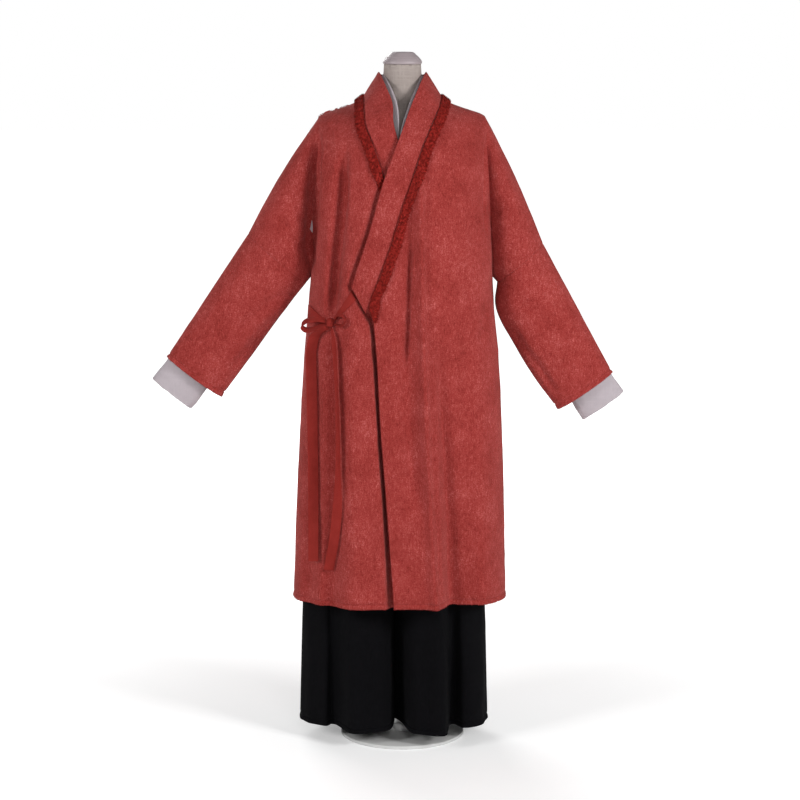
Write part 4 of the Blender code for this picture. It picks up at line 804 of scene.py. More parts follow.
def fold_height(panel, x, z):
    total = 0.0
    for f in FOLDS:
        if f.panel != panel or not f.z_low < z < f.z_top:
            continue
        t = (f.z_top - z) / (f.z_top - f.z_low)
        path = (1 - t) * (1 - 2 * t) * f.x_top + 4 * t * (1 - t) * f.x_mid + t * (2 * t - 1) * f.x_low
        height = f.height_top + (f.height_low - f.height_top) * t
        width = f.width_top + (f.width_low - f.width_top) * t
        fade = ramp(z, f.z_top, f.z_top - FOLD_FADE)
        if f.z_low > ROBE_ROWS[0].side:
            fade *= ramp(z, f.z_low, f.z_low + FOLD_FADE)
        away = (x - path) / width
        if away * f.sharp > 0:
            away *= FOLD_STEEP
        total += fade * height * math.exp(-(away ** 2))
    return total


def over_line(z):
    """The left front's limit: its free edge, the collar's slanting end and then the collar's inner edge."""
    tip, corner = COLLAR_FRONT[0], OVER_EDGE[5]
    if z < corner.z:
        return read(OVER_EDGE, z, "x")
    if z < tip.in_z:
        return corner.x + (tip.in_x - corner.x) * (z - corner.z) / (tip.in_z - corner.z)
    return read(COLLAR_FRONT, z, "in_x", "in_z")


def under_depth(x, z):
    """How far the right front lies behind the left one."""
    line = over_line(z)
    width = read(DIPS, z, "width")
    depth = read(DIPS, z, "depth")
    slit = read(DIPS, z, "slit") - depth
    entry = ramp(x, line - width, line - DIP_LEAD)
    return entry * (depth + slit * (1 - ramp(x, line + 0.010, line + 0.050)))


def robe_place(panel, x, run):
    """A point of the robe's outer face on the left front ('over'), the right front ('under') or the back."""
    z = height_at(ROBE, x, run)
    face = 1 if panel == "back" else -1
    y, strength = surface_y(ROBE, face, x, z)
    folds = fold_height(panel, x, z)
    if panel == "under":
        covered = ramp(x, over_line(z) - 0.02, over_line(z) + 0.02)
        folds += covered * (fold_height("over", x, z) - folds)
        y += under_depth(x, z)
    return np.array([x, y + face * folds * strength, z])


def robe_on(panel, x, z):
    return robe_place(panel, x, run_at(ROBE, x, z))


def robe_frame(panel, x, run):
    """The surface's directions for a step in x and in run, and its outward normal."""
    step = 0.001
    above = max(run - step, 0.0)
    across = (robe_place(panel, x + step, run) - robe_place(panel, x - step, run)) / (2 * step)
    down = (robe_place(panel, x, run + step) - robe_place(panel, x, above)) / (run + step - above)
    normal = unit(np.cross(down, across))
    if panel == "back":
        normal = -normal
    if run == 0:
        normal = unit(np.array([normal[0], 0.0, abs(normal[2])]))
    return across, down, normal



def row_of_points(shell, place, start, end, shares):
    """Points from a start to an end, both given as x and run, at shares of the way round the plan."""
    angles = []
    for x, run in (start, end):
        middle, half = middle_and_half(shell, BUST_Z + 1 - run)
        angles.append(math.asin(min(max((x - middle) / half, -1.0), 1.0)))
    row = []
    for t in shares:
        run = start[1] + (end[1] - start[1]) * t
        middle, half = middle_and_half(shell, BUST_Z + 1 - run)
        row.append(place(middle + half * math.sin(angles[0] + (angles[1] - angles[0]) * t), run))
    return row


def side_end(shell, side, crease, z, last):
    """Where a row ends: on the side seam, or above the armpit on the armhole's crease."""
    middle, half = middle_and_half(shell, z)
    x = middle + side * (half - (read(crease, z, "inset") if z > crease[0].z else 0.0))
    return x, 0.0 if last else run_at(shell, x, z)


def robe_start(panel, side, z):
    if panel == "back":
        return side * (read(NAPE, z, "x") + 2 * SEAM)
    if panel == "over":
        return read(OVER_EDGE, z, "x") + SEAM
    shift = 2 * NECKLINE_SHIFT * (1 - ramp(z, 1.43, 1.502))
    return -read(OVER_EDGE, z, "x") - shift - SEAM


def seam_point(side, top, low, share, front):
    """A point of the seam above the elbow. share is 0 on the top and 1 at the underarm."""
    depth = np.array([0, (-1 if front else 1) * SEAM_HALF_DEPTH, 0])
    return top + (low - top) * share + depth * 2 * math.sqrt(max(share * (1 - share), 0.0))


def seam_ends(sleeve):
    return [np.array([x, 0.0, z]) for x, z in (sleeve.seam_top, sleeve.seam_low)]


def sleeve_loop(top, low, half_depth, count, power=1.0):
    """A closed loop in a sleeve, from its top round the front to its underside and back."""
    loop = []
    for k in range(count):
        turn = 2 * math.pi * k / count
        depth = math.copysign(abs(math.sin(turn)) ** power, math.sin(turn))
        loop.append((top + low) / 2 + (top - low) / 2 * math.cos(turn) - np.array([0, half_depth * depth, 0]))
    return loop


def sleeve_paths(sleeve, count):
    """Points down the sleeve's upper and lower edges, from the seam to the cuff."""
    top, low = seam_ends(sleeve)
    upper = smooth_path([(top[0], top[2]), sleeve.cuff_top], count)
    lower = smooth_path([(low[0], low[2]), *sleeve.low_path, sleeve.cuff_low], count)
    return upper, lower


def collar_row(station, side):
    """Points across the collar's outer face, from its seam to its inner edge."""
    front = station in COLLAR_FRONT
    panel = ("over" if side > 0 else "under") if front else "back"
    shift = 0.0
    if front and side < 0:
        shift = 2 * NECKLINE_SHIFT
    out_x = side * station.out_x - shift * (1 - ramp(station.out_z, 1.43, 1.502))
    in_x = side * station.in_x - shift * (1 - ramp(station.in_z, 1.43, 1.502))
    row = []
    for c in range(COLLAR_COLUMNS + 1):
        t = c / COLLAR_COLUMNS
        x = out_x + (in_x - out_x) * t
        z = station.out_z + (station.in_z - station.out_z) * t
        if station.in_y == 0:
            row.append(robe_on(panel, x, z))
            continue
        foot = robe_on(panel, out_x, station.out_z)
        in_y = station.in_y + (under_depth(in_x, station.in_z) if panel == "under" else 0.0)
        y = foot[1] + (in_y - foot[1]) * t
        row.append(np.array([x, y, z]))
    return np.array(row)


def collar_rows(side):
    stations = COLLAR_FRONT + COLLAR_BACK
    return [collar_row(s, side) for s in stations]


def grid_normals(grid):
    """Normals of a grid of points, all on the same side."""
    rows = np.gradient(grid, axis=0)
    columns = np.gradient(grid, axis=1)
    normals = np.cross(rows, columns)
    return normals / np.linalg.norm(normals, axis=2, keepdims=True)


def along_row(points, distance):
    """The place at a distance along a row of points."""
    for a, b in zip(points, points[1:]):
        step = np.linalg.norm(b - a)
        if distance <= step:
            return a + (b - a) * distance / step
        distance -= step
    return points[-1]


def front_trim_rows(grid, panel):
    """The trim's places on a front, row by row from its lower end to the shoulder, with their normals."""
    heights = [row.front for row in fine_rows(ROBE_ROWS, BODY_STEPS)]
    last = len(heights) - 1
    chosen = [i for i, z in enumerate(heights) if z > ROBE_ROWS[COLLAR_ROW].front - 1e-6]
    rows = []
    for i in chosen[::2] + ([] if (last - chosen[0]) % 2 == 0 else [last]):
        points = grid[i]
        back = max(j for j in range(i) if np.linalg.norm(grid[j][0] - points[0]) > SEAM_REACH)
        seam = unit(points[0] - grid[back][0])
        lean = np.linalg.norm(np.cross(unit(points[6] - points[0]), seam))
        full = ROBE_ROWS[COLLAR_ROW + 1].front - ROBE_ROWS[COLLAR_ROW].front
        share = min((heights[i] - ROBE_ROWS[COLLAR_ROW].front) / full, 1.0)
        width = TRIM_TIP + (TRIM_WIDTH / lean - TRIM_TIP) * share
        places = [along_row(points, TRIM_GAP + width * c / TRIM_COLUMNS) for c in range(TRIM_COLUMNS + 1)]
        rows.append([(p, robe_frame(panel, p[0], 0.0 if i == last else run_at(ROBE, p[0], p[2]))[2])
                     for p in places])
    return rows


def back_trim_rows(side):
    """The trim's places on the back, from just behind the shoulder to the nape, with their normals."""
    stations = [COLLAR_FRONT[-1]] + COLLAR_BACK
    track = [(side * s.out_x, s.out_z) for s in stations]
    points = np.array([robe_on("back", *p) for p in track])
    rows = []
    for (x, z), tangent in list(zip(track, np.gradient(points, axis=0)))[1:]:
        run = run_at(ROBE, x, z)
        step_x, step_run, normal = robe_frame("back", x, run)
        outward = unit(np.cross(tangent, normal))
        outward = outward if outward[2] < 0 else -outward
        share = np.linalg.lstsq(np.array([step_x, step_run]).T, outward, rcond=None)[0]
        row = []
        for c in range(TRIM_COLUMNS + 1):
            width = TRIM_GAP + TRIM_WIDTH * c / TRIM_COLUMNS
            place = (x + share[0] * width, run + share[1] * width)
            row.append((robe_place("back", *place), robe_frame("back", *place)[2]))
        rows.append(row)
    return rows


def front_of_robe(x, z, reach=0.0):
    """The frontmost Y of the right front within a reach of x."""
    return min(robe_on("under", x + reach * k / 4, z)[1] for k in range(-4, 5))



def trouser_place(leg, face, share, z):
    """share is 0 at the middle or inseam and 1 at the side."""
    side = 1 if leg == "left" else -1
    way = -1 if face == "front" else 1
    merge = ramp(z, RISE_Z, CROTCH_Z)
    hip_middle = INSEAM_X * merge
    turn = share * math.pi / 2
    hip_x = hip_middle + side * read(HIPS, z, "half") * math.sin(turn)
    hip_y = way * read(HIPS, z, face) * (1 - math.sin(turn) ** PLAN_POWER) ** (1 / PLAN_POWER)
    half = read(LEGS, z, "half")
    leg_x = INSEAM_X + side * half * (1 - math.cos(share * math.pi))
    plump = math.sin(share * math.pi) ** 0.8
    leg_y = read(LEGS, z, face) * plump
    growth = max((LEG_LOBE_TOP - z) / (LEG_LOBE_TOP - TROUSER_HEM), 0.0) ** 1.3
    for lobe in LOBES:
        if lobe.leg == leg and lobe.face == face:
            leg_y += growth * lobe.height * math.exp(-(((leg_x - lobe.x) / lobe.width) ** LOBE_POWER)) * plump**0.5
    x = hip_x * (1 - merge) + leg_x * merge
    y = hip_y * (1 - merge) + way * leg_y * merge
    x += LEG_SHEAR * y * ramp(z, CROTCH_Z, 0.30)
    gap = side * LEG_GAP * (1 - share)
    return np.array([x + gap, y + way * SEAM * (merge if share == 0 else 1 if share == 1 else 0), z])



# Relief

# A crease is a soft trough (depth above 0) or ridge through places seen from the front, on one face.
Trough = namedtuple("Trough", "piece face route depth width sharp", defaults=[0])
TROUGHS = [
    Trough("right", "front", [(-0.1900, 1.440), (-0.1942, 1.342), (-0.2010, 1.240), (-0.2075, 1.158), (-0.2079, 1.095)],
           0.0190, 0.0170, 1),
    Trough("right", "front", [(-0.1790, 1.400), (-0.1810, 1.300), (-0.1860, 1.200)], -0.0030, 0.0090),
    Trough("right", "front", [(-0.1300, 1.390), (-0.1297, 1.283), (-0.1420, 1.169), (-0.1500, 1.089), (-0.1580, 0.990)],
           0.0110, 0.0130, 1),
    Trough("right", "front", [(-0.2120, 1.150), (-0.2450, 1.180), (-0.2900, 1.240)], 0.0045, 0.0110),
    Trough("right", "front", [(-0.2140, 1.200), (-0.2500, 1.265), (-0.2900, 1.330)], 0.0030, 0.0140),
    Trough("left", "front", [(0.1893, 1.420), (0.1895, 1.339), (0.1880, 1.251), (0.1930, 1.180)], 0.0120, 0.0080, -1),
    Trough("left", "front", [(0.0170, 1.200), (0.0150, 1.120), (0.0130, 1.030), (0.0110, 0.960), (0.0050, 0.880)],
           0.0110, 0.0045),
    Trough("left", "front", [(0.2100, 1.140), (0.2400, 1.160), (0.2850, 1.225)], 0.0040, 0.0110),
    Trough("left", "front", [(0.2000, 1.220), (0.2350, 1.290), (0.2700, 1.350)], 0.0028, 0.0140),
    Trough("left", "front", [(0.2040, 1.085), (0.1900, 1.010), (0.1750, 0.930)], 0.0030, 0.0120),
    Trough("right", "back", [(-0.1900, 1.430), (-0.1960, 1.330), (-0.2030, 1.230), (-0.2078, 1.110)], 0.0080, 0.0090),
    Trough("right", "back", [(-0.2120, 1.160), (-0.2500, 1.200), (-0.3000, 1.250)], 0.0040, 0.0120),
    Trough("left", "back", [(0.1895, 1.410), (0.1930, 1.320), (0.1970, 1.220), (0.2050, 1.105)], 0.0080, 0.0090),
    Trough("left", "back", [(0.2100, 1.150), (0.2450, 1.190), (0.2900, 1.240)], 0.0040, 0.0120),
    Trough("left sleeve", "front", [(0.2440, 0.990), (0.2750, 0.935), (0.3200, 0.875), (0.3640, 0.805)], 0.0060, 0.0090),
    Trough("left sleeve", "front", [(0.2500, 1.055), (0.3000, 1.010), (0.3500, 0.960)], 0.0030, 0.0140),
    Trough("left sleeve", "front", [(0.3200, 1.080), (0.3700, 1.000), (0.4100, 0.930)], -0.0025, 0.0160),
    Trough("left sleeve", "back", [(0.2400, 1.000), (0.2800, 0.930), (0.3300, 0.860)], 0.0045, 0.0110),
    Trough("left sleeve", "back", [(0.2900, 1.060), (0.3500, 0.985), (0.4000, 0.910)], 0.0030, 0.0150),
    Trough("right sleeve", "front", [(-0.2600, 1.060), (-0.3200, 1.020), (-0.3800, 0.960)], 0.0035, 0.0130),
    Trough("right sleeve", "front", [(-0.2800, 1.010), (-0.3450, 0.935), (-0.4050, 0.860)], 0.0040, 0.0110),
    Trough("right sleeve", "front", [(-0.3500, 1.120), (-0.4100, 1.045), (-0.4600, 0.975)], -0.0025, 0.0170),
    Trough("right sleeve", "back", [(-0.2700, 1.045), (-0.3400, 0.975), (-0.4000, 0.900)], 0.0042, 0.0120),
    Trough("right sleeve", "back", [(-0.3300, 1.090), (-0.4000, 1.015), (-0.4500, 0.940)], 0.0028, 0.0150),
]


def crease_depth(piece, points):
    """How far a piece's creases push its surface in at each point."""
    total = np.zeros(len(points))
    for crease in TROUGHS:
        if crease.piece != piece:
            continue
        route = smooth_path(crease.route, CREASE_STEPS)
        face = points[:, 1] < 0 if crease.face == "front" else points[:, 1] > 0
        chosen = np.nonzero(face)[0]
        flat = points[chosen][:, [0, 2]]
        apart = np.linalg.norm(flat[:, None, :] - route[None, :, :], axis=2)
        nearest = np.argmin(apart, axis=1)
        share = nearest / (CREASE_STEPS - 1)
        ends = np.clip(np.minimum(share, 1 - share) / 0.22, 0, 1)
        fade = ends * ends * (3 - 2 * ends)
        away = apart[np.arange(len(chosen)), nearest]
        steep = (flat[:, 0] - route[nearest, 0]) * crease.sharp > 0
        away = np.where(steep, away * STEEP, away)
        total[chosen] += crease.depth * fade * np.exp(-((away / crease.width) ** 2))
    return total


def waves(points, pitch, height, seed=0.0):
    """Slight unevenness of a surface, in lumps of about a pitch."""
    shift = Vector((seed, 2 * seed, 3 * seed))
    return height * np.array([noise.noise(Vector(p) / pitch + shift) for p in points])


def soft(ramp_at):
    t = np.clip(ramp_at, 0, 1)
    return t * t * (3 - 2 * t)


def fringe(name, rings, look, count, seed):
    """Short fibres out of a cloth's free edge, which lies along rings of points with the ways out of it."""
    draw = np.random.default_rng(seed)
    path, ways = (np.concatenate(part) for part in zip(*rings))
    at = draw.integers(0, len(path), count)
    near = path[at] + draw.uniform(-1, 1, (count, 3)) * FRINGE_SPREAD
    lean = ways[at] + draw.normal(0, 0.55, (count, 3))
    return spikes(name, near, lean, draw.uniform(0.0012, 0.0034, count), 0.00022, look)


def hem_relief(away):
    """A turned hem: a fuller edge, and a groove where it is stitched."""
    return 0.0012 * (1 - soft(away / STITCH_LINE)) - 0.0018 * np.exp(-(((away - STITCH_LINE) / 0.0022) ** 2))


RIM_WAVES = 0.3
RIM_DEPTH = 0.03


def robe_relief(piece, hem_away):
    """The relief of a piece of the robe. hem_away gives each point's distance from its hemmed edge."""
    def relief(points, normals):
        out = waves(points, 0.045, 0.0018) + waves(points, 0.016, 0.0007, 5.0) + waves(points, 0.007, 0.0003, 9.0)
        out = out * (RIM_WAVES + (1 - RIM_WAVES) * soft(np.abs(points[:, 1]) / RIM_DEPTH))
        away = hem_away(points)
        out = out + hem_relief(away) + waves(points, 0.010, 0.0012, 3.0) * np.exp(-((away / 0.010) ** 2))
        return normals * (out - crease_depth(piece, points))[:, None]
    return relief


# The robe

def fine_rows(rows, steps):
    """A body's rows with more between them, close ones along the hem and towards the shoulder line."""
    table = np.array(rows)
    last = len(rows) - 1
    at = list(np.linspace(0, last - 1, (last - 1) * steps + 1))
    at += [last - (1 - k / SHOULDER_STEPS) ** 2 for k in range(1, SHOULDER_STEPS + 1)]
    fine = np.column_stack([np.interp(at, range(last + 1), table[:, k]) for k in range(3)])
    hem = [Row(*[table[0, 0] + step] * 3) for step in HEM_STEPS]
    return hem + [Row(*r) for r in fine if r[0] > hem[-1].front + 0.004]


def body_grids(sleeve, front_panel):
    """The fine grids of a half of the robe: body and sleeve top, front and back."""
    rows = fine_rows(ROBE_ROWS, BODY_STEPS)
    last = len(rows) - 1
    top, low = seam_ends(sleeve)
    corner_x, _ = side_end(ROBE, sleeve.side, ROBE_CREASE, rows[-1].side, True)
    corner = np.array([corner_x, 0.0, shoulder_z(ROBE, corner_x)])
    grids = {}
    for panel, front in ((front_panel, True), ("back", False)):
        body, wing = [], []
        for r, row in enumerate(rows):
            z = row.front if front else row.back
            x = robe_start(panel, sleeve.side, z)
            start = (x, 0.0 if r == last else run_at(ROBE, x, z))
            end = side_end(ROBE, sleeve.side, ROBE_CREASE, row.side, r == last)
            points = row_of_points(ROBE, lambda x, run: robe_place(panel, x, run), start, end, BODY_SHARES)
            if row.side <= ARMPIT_Z + 1e-6:
                points[-1][1] = 0.0
            body.append(points)
            if row.side < ARMPIT_Z - 1e-6:
                continue
            edge = points[-1]
            share = (corner[2] - edge[2]) / (corner[2] - ARMPIT_Z)
            line = []
            for t in WEDGE_SHARES:
                full = math.sin(math.pi * t)
                point = (1 - t) * edge + t * seam_point(sleeve.side, top, low, share, front)
                point[1] += (-1 if front else 1) * SLEEVE_PLUMP * full * math.sin(math.pi * share)
                out = sleeve.crown * full * max(math.cos(math.pi * share), 0.0)
                line.append(point + out * np.array([sleeve.side * 0.85, 0, 0.53]))
            wing.append(line)
        grids[front] = np.array(body), np.array(wing)
    (front_body, front_wing), (back_body, back_wing) = grids[True], grids[False]
    sewn = [i for i, row in enumerate(rows) if row.side <= ARMPIT_Z + 1e-6]
    back_body[sewn, -1] = front_body[sewn, -1]
    back_body[-1] = front_body[-1]
    for i in (0, -1):
        back_wing[i] = front_wing[i]
    return grids


def make_body(name, sleeve, front_panel):
    grids = body_grids(sleeve, front_panel)
    points, quads = [], []
    count = 0
    for front, (body, wing) in grids.items():
        for grid in (body, wing):
            part = grid_quads(grid.shape[0], grid.shape[1], start=count)
            quads.append(part if (sleeve.side > 0) == front else part[:, ::-1])
            points.append(grid.reshape(-1, 3))
            count += len(points[-1])
    points, quads = merged(np.concatenate(points), np.concatenate(quads))
    armpit, low = [grids[True][1][0, k] for k in (0, -1)]

    def thin(places):
        share = np.clip((places - armpit) @ (low - armpit) / np.dot(low - armpit, low - armpit), 0, 1)
        away = np.linalg.norm(places - armpit - share[:, None] * (low - armpit), axis=1)
        return 0.25 + 0.75 * soft(away / 0.02)

    half = "left" if sleeve.side > 0 else "right"
    relief = robe_relief(half, lambda places: places[:, 2] - ROBE_ROWS[0].side)
    piece, tree = cloth(f"cloth_{name}", points, quads, ROBE_WALL, "robe", relief, thin)
    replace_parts(piece, name)
    hem_rows = [grids[front][0][HEM_ROW] for front in (True, False)]
    path = np.concatenate([hem_rows[0], hem_rows[1][::-1]])
    out = path * [1, 1, 0]
    thread = stitches(f"hem_stitches_{half}", *on_surface(path, out, tree, 0.0001), "thread")
    hem = np.concatenate([grids[True][0][0], grids[False][0][0][::-1]])
    hem, around = on_surface(hem + [0, 0, FRINGE_SPREAD], hem * [1, 1, 0], tree, -ROBE_WALL / 2)
    below = np.array([0, 0, -1.0])
    edge = grids[True][0][:EDGE_ROWS, 0]
    edge, front = on_surface(edge + [sleeve.side * FRINGE_SPREAD, 0, 0], [(0, -1, 0)] * len(edge), tree, -ROBE_WALL / 2)
    aside = np.array([-sleeve.side, 0, 0.0])
    rings = [(hem, below + around * 0.3), (edge, aside + front * 0.3)]
    fibres = fringe(f"fibres_hem_{half}", rings, "robe", FRINGE_COUNT, 21 if sleeve.side > 0 else 22)
    return piece, tree, grids[True][0], [thread, fibres]


def on_surface(path, ways, tree, gap):
    """A path moved onto a surface along its ways, and the surface's normals there."""
    places, normals = [], []
    for point, way in zip(path, ways):
        way = Vector(way).normalized()
        hit, normal, _, _ = tree.ray_cast(Vector(point) + way * LIFT_REACH, -way, 3 * LIFT_REACH)
        if hit is None:
            hit, normal = Vector(point), way
        if normal.dot(way) < 0:
            normal = -normal
        places.append(hit + normal * gap)
        normals.append(normal)
    return np.array(places), np.array(normals)


def make_sleeve(name, sleeve):
    half = name.split("_")[1]
    upper, lower = sleeve_paths(sleeve, SLEEVE_FINE)
    shares = np.concatenate([SEAM_SHARES, np.linspace(SEAM_SHARES[-1], 1 - CUFF_SHARES[-1], SLEEVE_FINE)[1:-1],
                             1 - CUFF_SHARES[::-1]])
    at = np.linspace(0, 1, SLEEVE_FINE)
    loops = []
    for t in shares:
        u, v = [np.array([np.interp(t, at, edge[:, 0]), 0, np.interp(t, at, edge[:, 1])]) for edge in (upper, lower)]
        half_depth = SEAM_HALF_DEPTH + (CUFF_HALF_DEPTH - SEAM_HALF_DEPTH) * t
        out = unit(np.array([sleeve.side * 0.58, 0, -0.81])) * SLEEVE_GAP * (1 - t)
        loops.append([p + out for p in sleeve_loop(u, v, half_depth, SLEEVE_FINE_SIDES)])
    grid = np.array(loops)
    cuff = grid[-1].mean(axis=0)
    way = unit(cuff - grid[-8].mean(axis=0))

    def hem_away(places):
        return np.abs((cuff - places) @ way)

    def outward(places):
        axis = np.clip((places - grid[0].mean(axis=0)) @ way, 0, None)
        return places - (grid[0].mean(axis=0) + axis[:, None] * way)

    piece, tree = grid_cloth(f"cloth_{name}", grid, ROBE_WALL, "robe", outward, True,
                             robe_relief(f"{half} sleeve", hem_away))
    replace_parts(piece, name)
    ring = min(range(len(grid)), key=lambda i: abs(np.dot(cuff - grid[i].mean(axis=0), way) - STITCH_LINE))
    path = np.concatenate([grid[ring], grid[ring][:1]])
    thread = stitches(f"cuff_stitches_{half}", *on_surface(path, path - grid[ring].mean(axis=0), tree, 0.0001),
                      "thread")
    rim, around = on_surface(grid[-1] - way * FRINGE_SPREAD, grid[-1] - cuff, tree, -ROBE_WALL / 2)
    fibres = fringe(f"fibres_cuff_{half}", [(rim, way + around * 0.3)], "robe", FRINGE_COUNT // 3,
                    23 if sleeve.side > 0 else 24)
    return piece, [thread, fibres]


def make_collar():
    left, right = collar_rows(1), collar_rows(-1)
    grid = resample(np.array(left + right[-2::-1]), COLLAR_FINE, EDGE_SHARES)
    normals = grid_normals(grid)
    if normals[len(grid) // 4, 0, 1] > 0:
        normals = -normals
    seam_side = unit_rows(grid[:, -1] - grid[:, 0])[:, None, :] * SEAM * (1 - EDGE_SHARES[None, :, None])
    outer = grid + seam_side + normals * COLLAR_LIFT

    def relief(points, around):
        return around * (waves(points, 0.045, 0.0008) + waves(points, 0.013, 0.0005, 5.0))[:, None]

    piece, tree = grid_cloth("cloth_robe_collar", outer, BAND_WALL, "robe", normals.reshape(-1, 3), relief=relief)
    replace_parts(piece, "robe_collar")
    thread = stitches("collar_stitches", *on_surface(outer[:, -5], normals[:, -5], tree, 0.0001), "thread")
    return piece, thread


def pressed_depth(base, normals, cover):
    """How far down a strip has to go at each point to clear the cloth that lies over it."""
    rows, columns, _ = base.shape
    depth = np.zeros((rows, columns))
    for r in range(rows):
        for c in range(columns):
            way = Vector(normals[r, c])
            hit, _, _, far = cover.ray_cast(Vector(base[r, c]) - way * PRESS_START, way, LIFT_REACH)
            if hit is not None:
                depth[r, c] = max(0.0, TRIM_WALL + PRESS_CLEAR - (far - PRESS_START))
    return np.minimum(depth, PRESS_MOST)


def make_trim(name, body, tree, side, panel, cover=None):
    """A pile strip beside the collar. cover is the tree of the cloth that presses part of it flat."""
    rows = front_trim_rows(body, panel) + back_trim_rows(side)
    both = np.array([[np.concatenate(pair) for pair in row] for row in rows])
    both[-1, :, 0] = side * 2 * SEAM
    both[-1, :, 3] = 0
    fine = resample(both, TRIM_FINE, EDGE_SHARES)
    base, normals = fine[:, :, :3], fine[:, :, 3:]
    normals = normals / np.linalg.norm(normals, axis=2, keepdims=True)
    ragged = np.array([[noise.noise(Vector(p) / 0.009) + noise.noise(Vector(p) / 0.004) for p in row] for row in base[:, [0, -1]]])
    across = unit_rows(base[:, -1] - base[:, 0])
    shares = EDGE_SHARES[None, :, None]
    base = base + across[:, None, :] * (ragged[:, :1, None] * 0.0010 * (1 - shares)
                                        + ragged[:, 1:, None] * 0.0026 * shares)
    base = laid(base, normals, tree, 0.0004, close=True)
    if cover is not None:
        base = base - normals * pressed_depth(base, normals, cover)[:, :, None]
    outer = base + normals * TRIM_WALL

    def relief(points, around):
        lumps = waves(points, 0.0085, 0.0016) + waves(points, 0.0032, 0.0007, 7.0)
        return around * (lumps - 0.0004)[:, None]

    piece, over = grid_cloth(f"pile_{name}", outer, TRIM_WALL - 0.0004, "trim", normals.reshape(-1, 3), relief=relief)
    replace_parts(piece, name)
    draw = np.random.default_rng(11 if side > 0 else 12)
    row = draw.integers(1, TRIM_FINE - 1, PILE_COUNT)
    edge = draw.random(PILE_COUNT) < 0.45
    share = np.where(edge, np.where(draw.random(PILE_COUNT) < 0.5, 0.03, 0.97), draw.random(PILE_COUNT))
    column = np.argmin(np.abs(EDGE_SHARES[None, :] - share[:, None]), axis=1)
    roots = outer[row, column] - normals[row, column] * np.where(edge, 0.0022, 0.0004)[:, None]
    lean = np.where(share < 0.5, -1, 1)[:, None] * across[row] * np.where(edge, 1.6, 0.3)[:, None]
    ways = normals[row, column] + lean + draw.normal(0, 0.45, (PILE_COUNT, 3))
    fibres = spikes(f"fibres_{name}", roots, ways, draw.uniform(0.0018, 0.0042, PILE_COUNT), 0.0003, "trim")
    return piece, fibres


# The ties

def tape(name, node, centres, widths, across, curl=0.0006):
    """A flat tape through centre points, each with its own width and direction across, its edges a little curled."""
    centres = np.array(centres)
    along = unit_rows(np.gradient(centres, axis=0))
    grid, normals = [], []
    for centre, tangent, width, direction in zip(centres, along, widths, across):
        direction = np.array(direction, float)
        direction = unit(direction - tangent * np.dot(direction, tangent))
        normal = unit(np.cross(tangent, direction))
        spread = (EDGE_SHARES - 0.5)[:, None]
        grid.append(centre + direction * width * spread + normal * (TAPE_WALL / 2 + curl * (4 * spread**2 - 0.4)))
        normals.append([normal] * len(EDGE_SHARES))

    def relief(points, around):
        return around * waves(points, 0.02, 0.0006)[:, None]

    piece, _ = grid_cloth(name, grid, TAPE_WALL, "tape", np.array(normals).reshape(-1, 3), relief=relief)
    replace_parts(piece, node)
    return piece


def make_band(node, tree, upper, lower):
    """A flat band on the right front between an upper and a lower edge, each given as x and z."""
    edges = []
    for edge in (upper, lower):
        turns = []
        for x, z in edge:
            middle, half = middle_and_half(ROBE, z)
            turns.append((math.asin((x - middle) / half), z))
        edges.append(smooth_path(turns, BAND_FINE))
    grid, normals = [], []
    for one, two in zip(*edges):
        places = []
        for share in EDGE_SHARES:
            turn, z = one + (two - one) * share
            middle, half = middle_and_half(ROBE, z)
            places.append((middle + half * math.sin(turn), BUST_Z + 1 - z))
        grid.append([robe_place("under", *p) for p in places])
        normals.append([robe_frame("under", *p)[2] for p in places])
    normals = np.array(normals)
    base = laid(np.array(grid), normals, tree, 0.0004)
    piece, _ = grid_cloth(f"tape_{node}", base + normals * TAPE_WALL, TAPE_WALL, "tape", normals.reshape(-1, 3))
    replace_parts(piece, node)
    return piece


def make_loop(node, route, width, across):
    centres = smooth_path([tuple(k + d for k, d in zip(KNOT, step)) for step in route], LOOP_FINE)
    share = np.linspace(0, 1, LOOP_FINE)
    widths = [width * (0.45 + 0.55 * math.sin(math.pi * t)) for t in share]
    return tape(f"tape_{node}", node, centres, widths, [across] * LOOP_FINE)


def make_end(node, end):
    places = smooth_path(end.route, END_FINE)
    centres, widths, across = [], [], []
    for i, (x, z) in enumerate(places):
        t = i / (END_FINE - 1)
        turn = math.radians(end.turn_top + (end.turn_low - end.turn_top) * ramp(t, 0.52, 0.86)
                            + 6 * math.sin(9 * t + end.turn_low) * ramp(t, 0.05, 0.3))
        width = TIE_WIDTH * (0.5 + 0.5 * ramp(t, 0.0, 0.08))
        reach = width / 2 * math.cos(turn) + TIE_REACH
        resting = front_of_robe(x, z, reach) - width / 2 * abs(math.sin(turn)) - TIE_LIFT - 0.001
        hung = KNOT[1] + TIE_SAG * ramp(t, 0.0, 0.12)
        centres.append((x, min(resting, hung), z))
        widths.append(width)
        across.append((math.cos(turn), math.sin(turn), 0.0))
    return tape(f"tape_{node}", node, centres, widths, across)


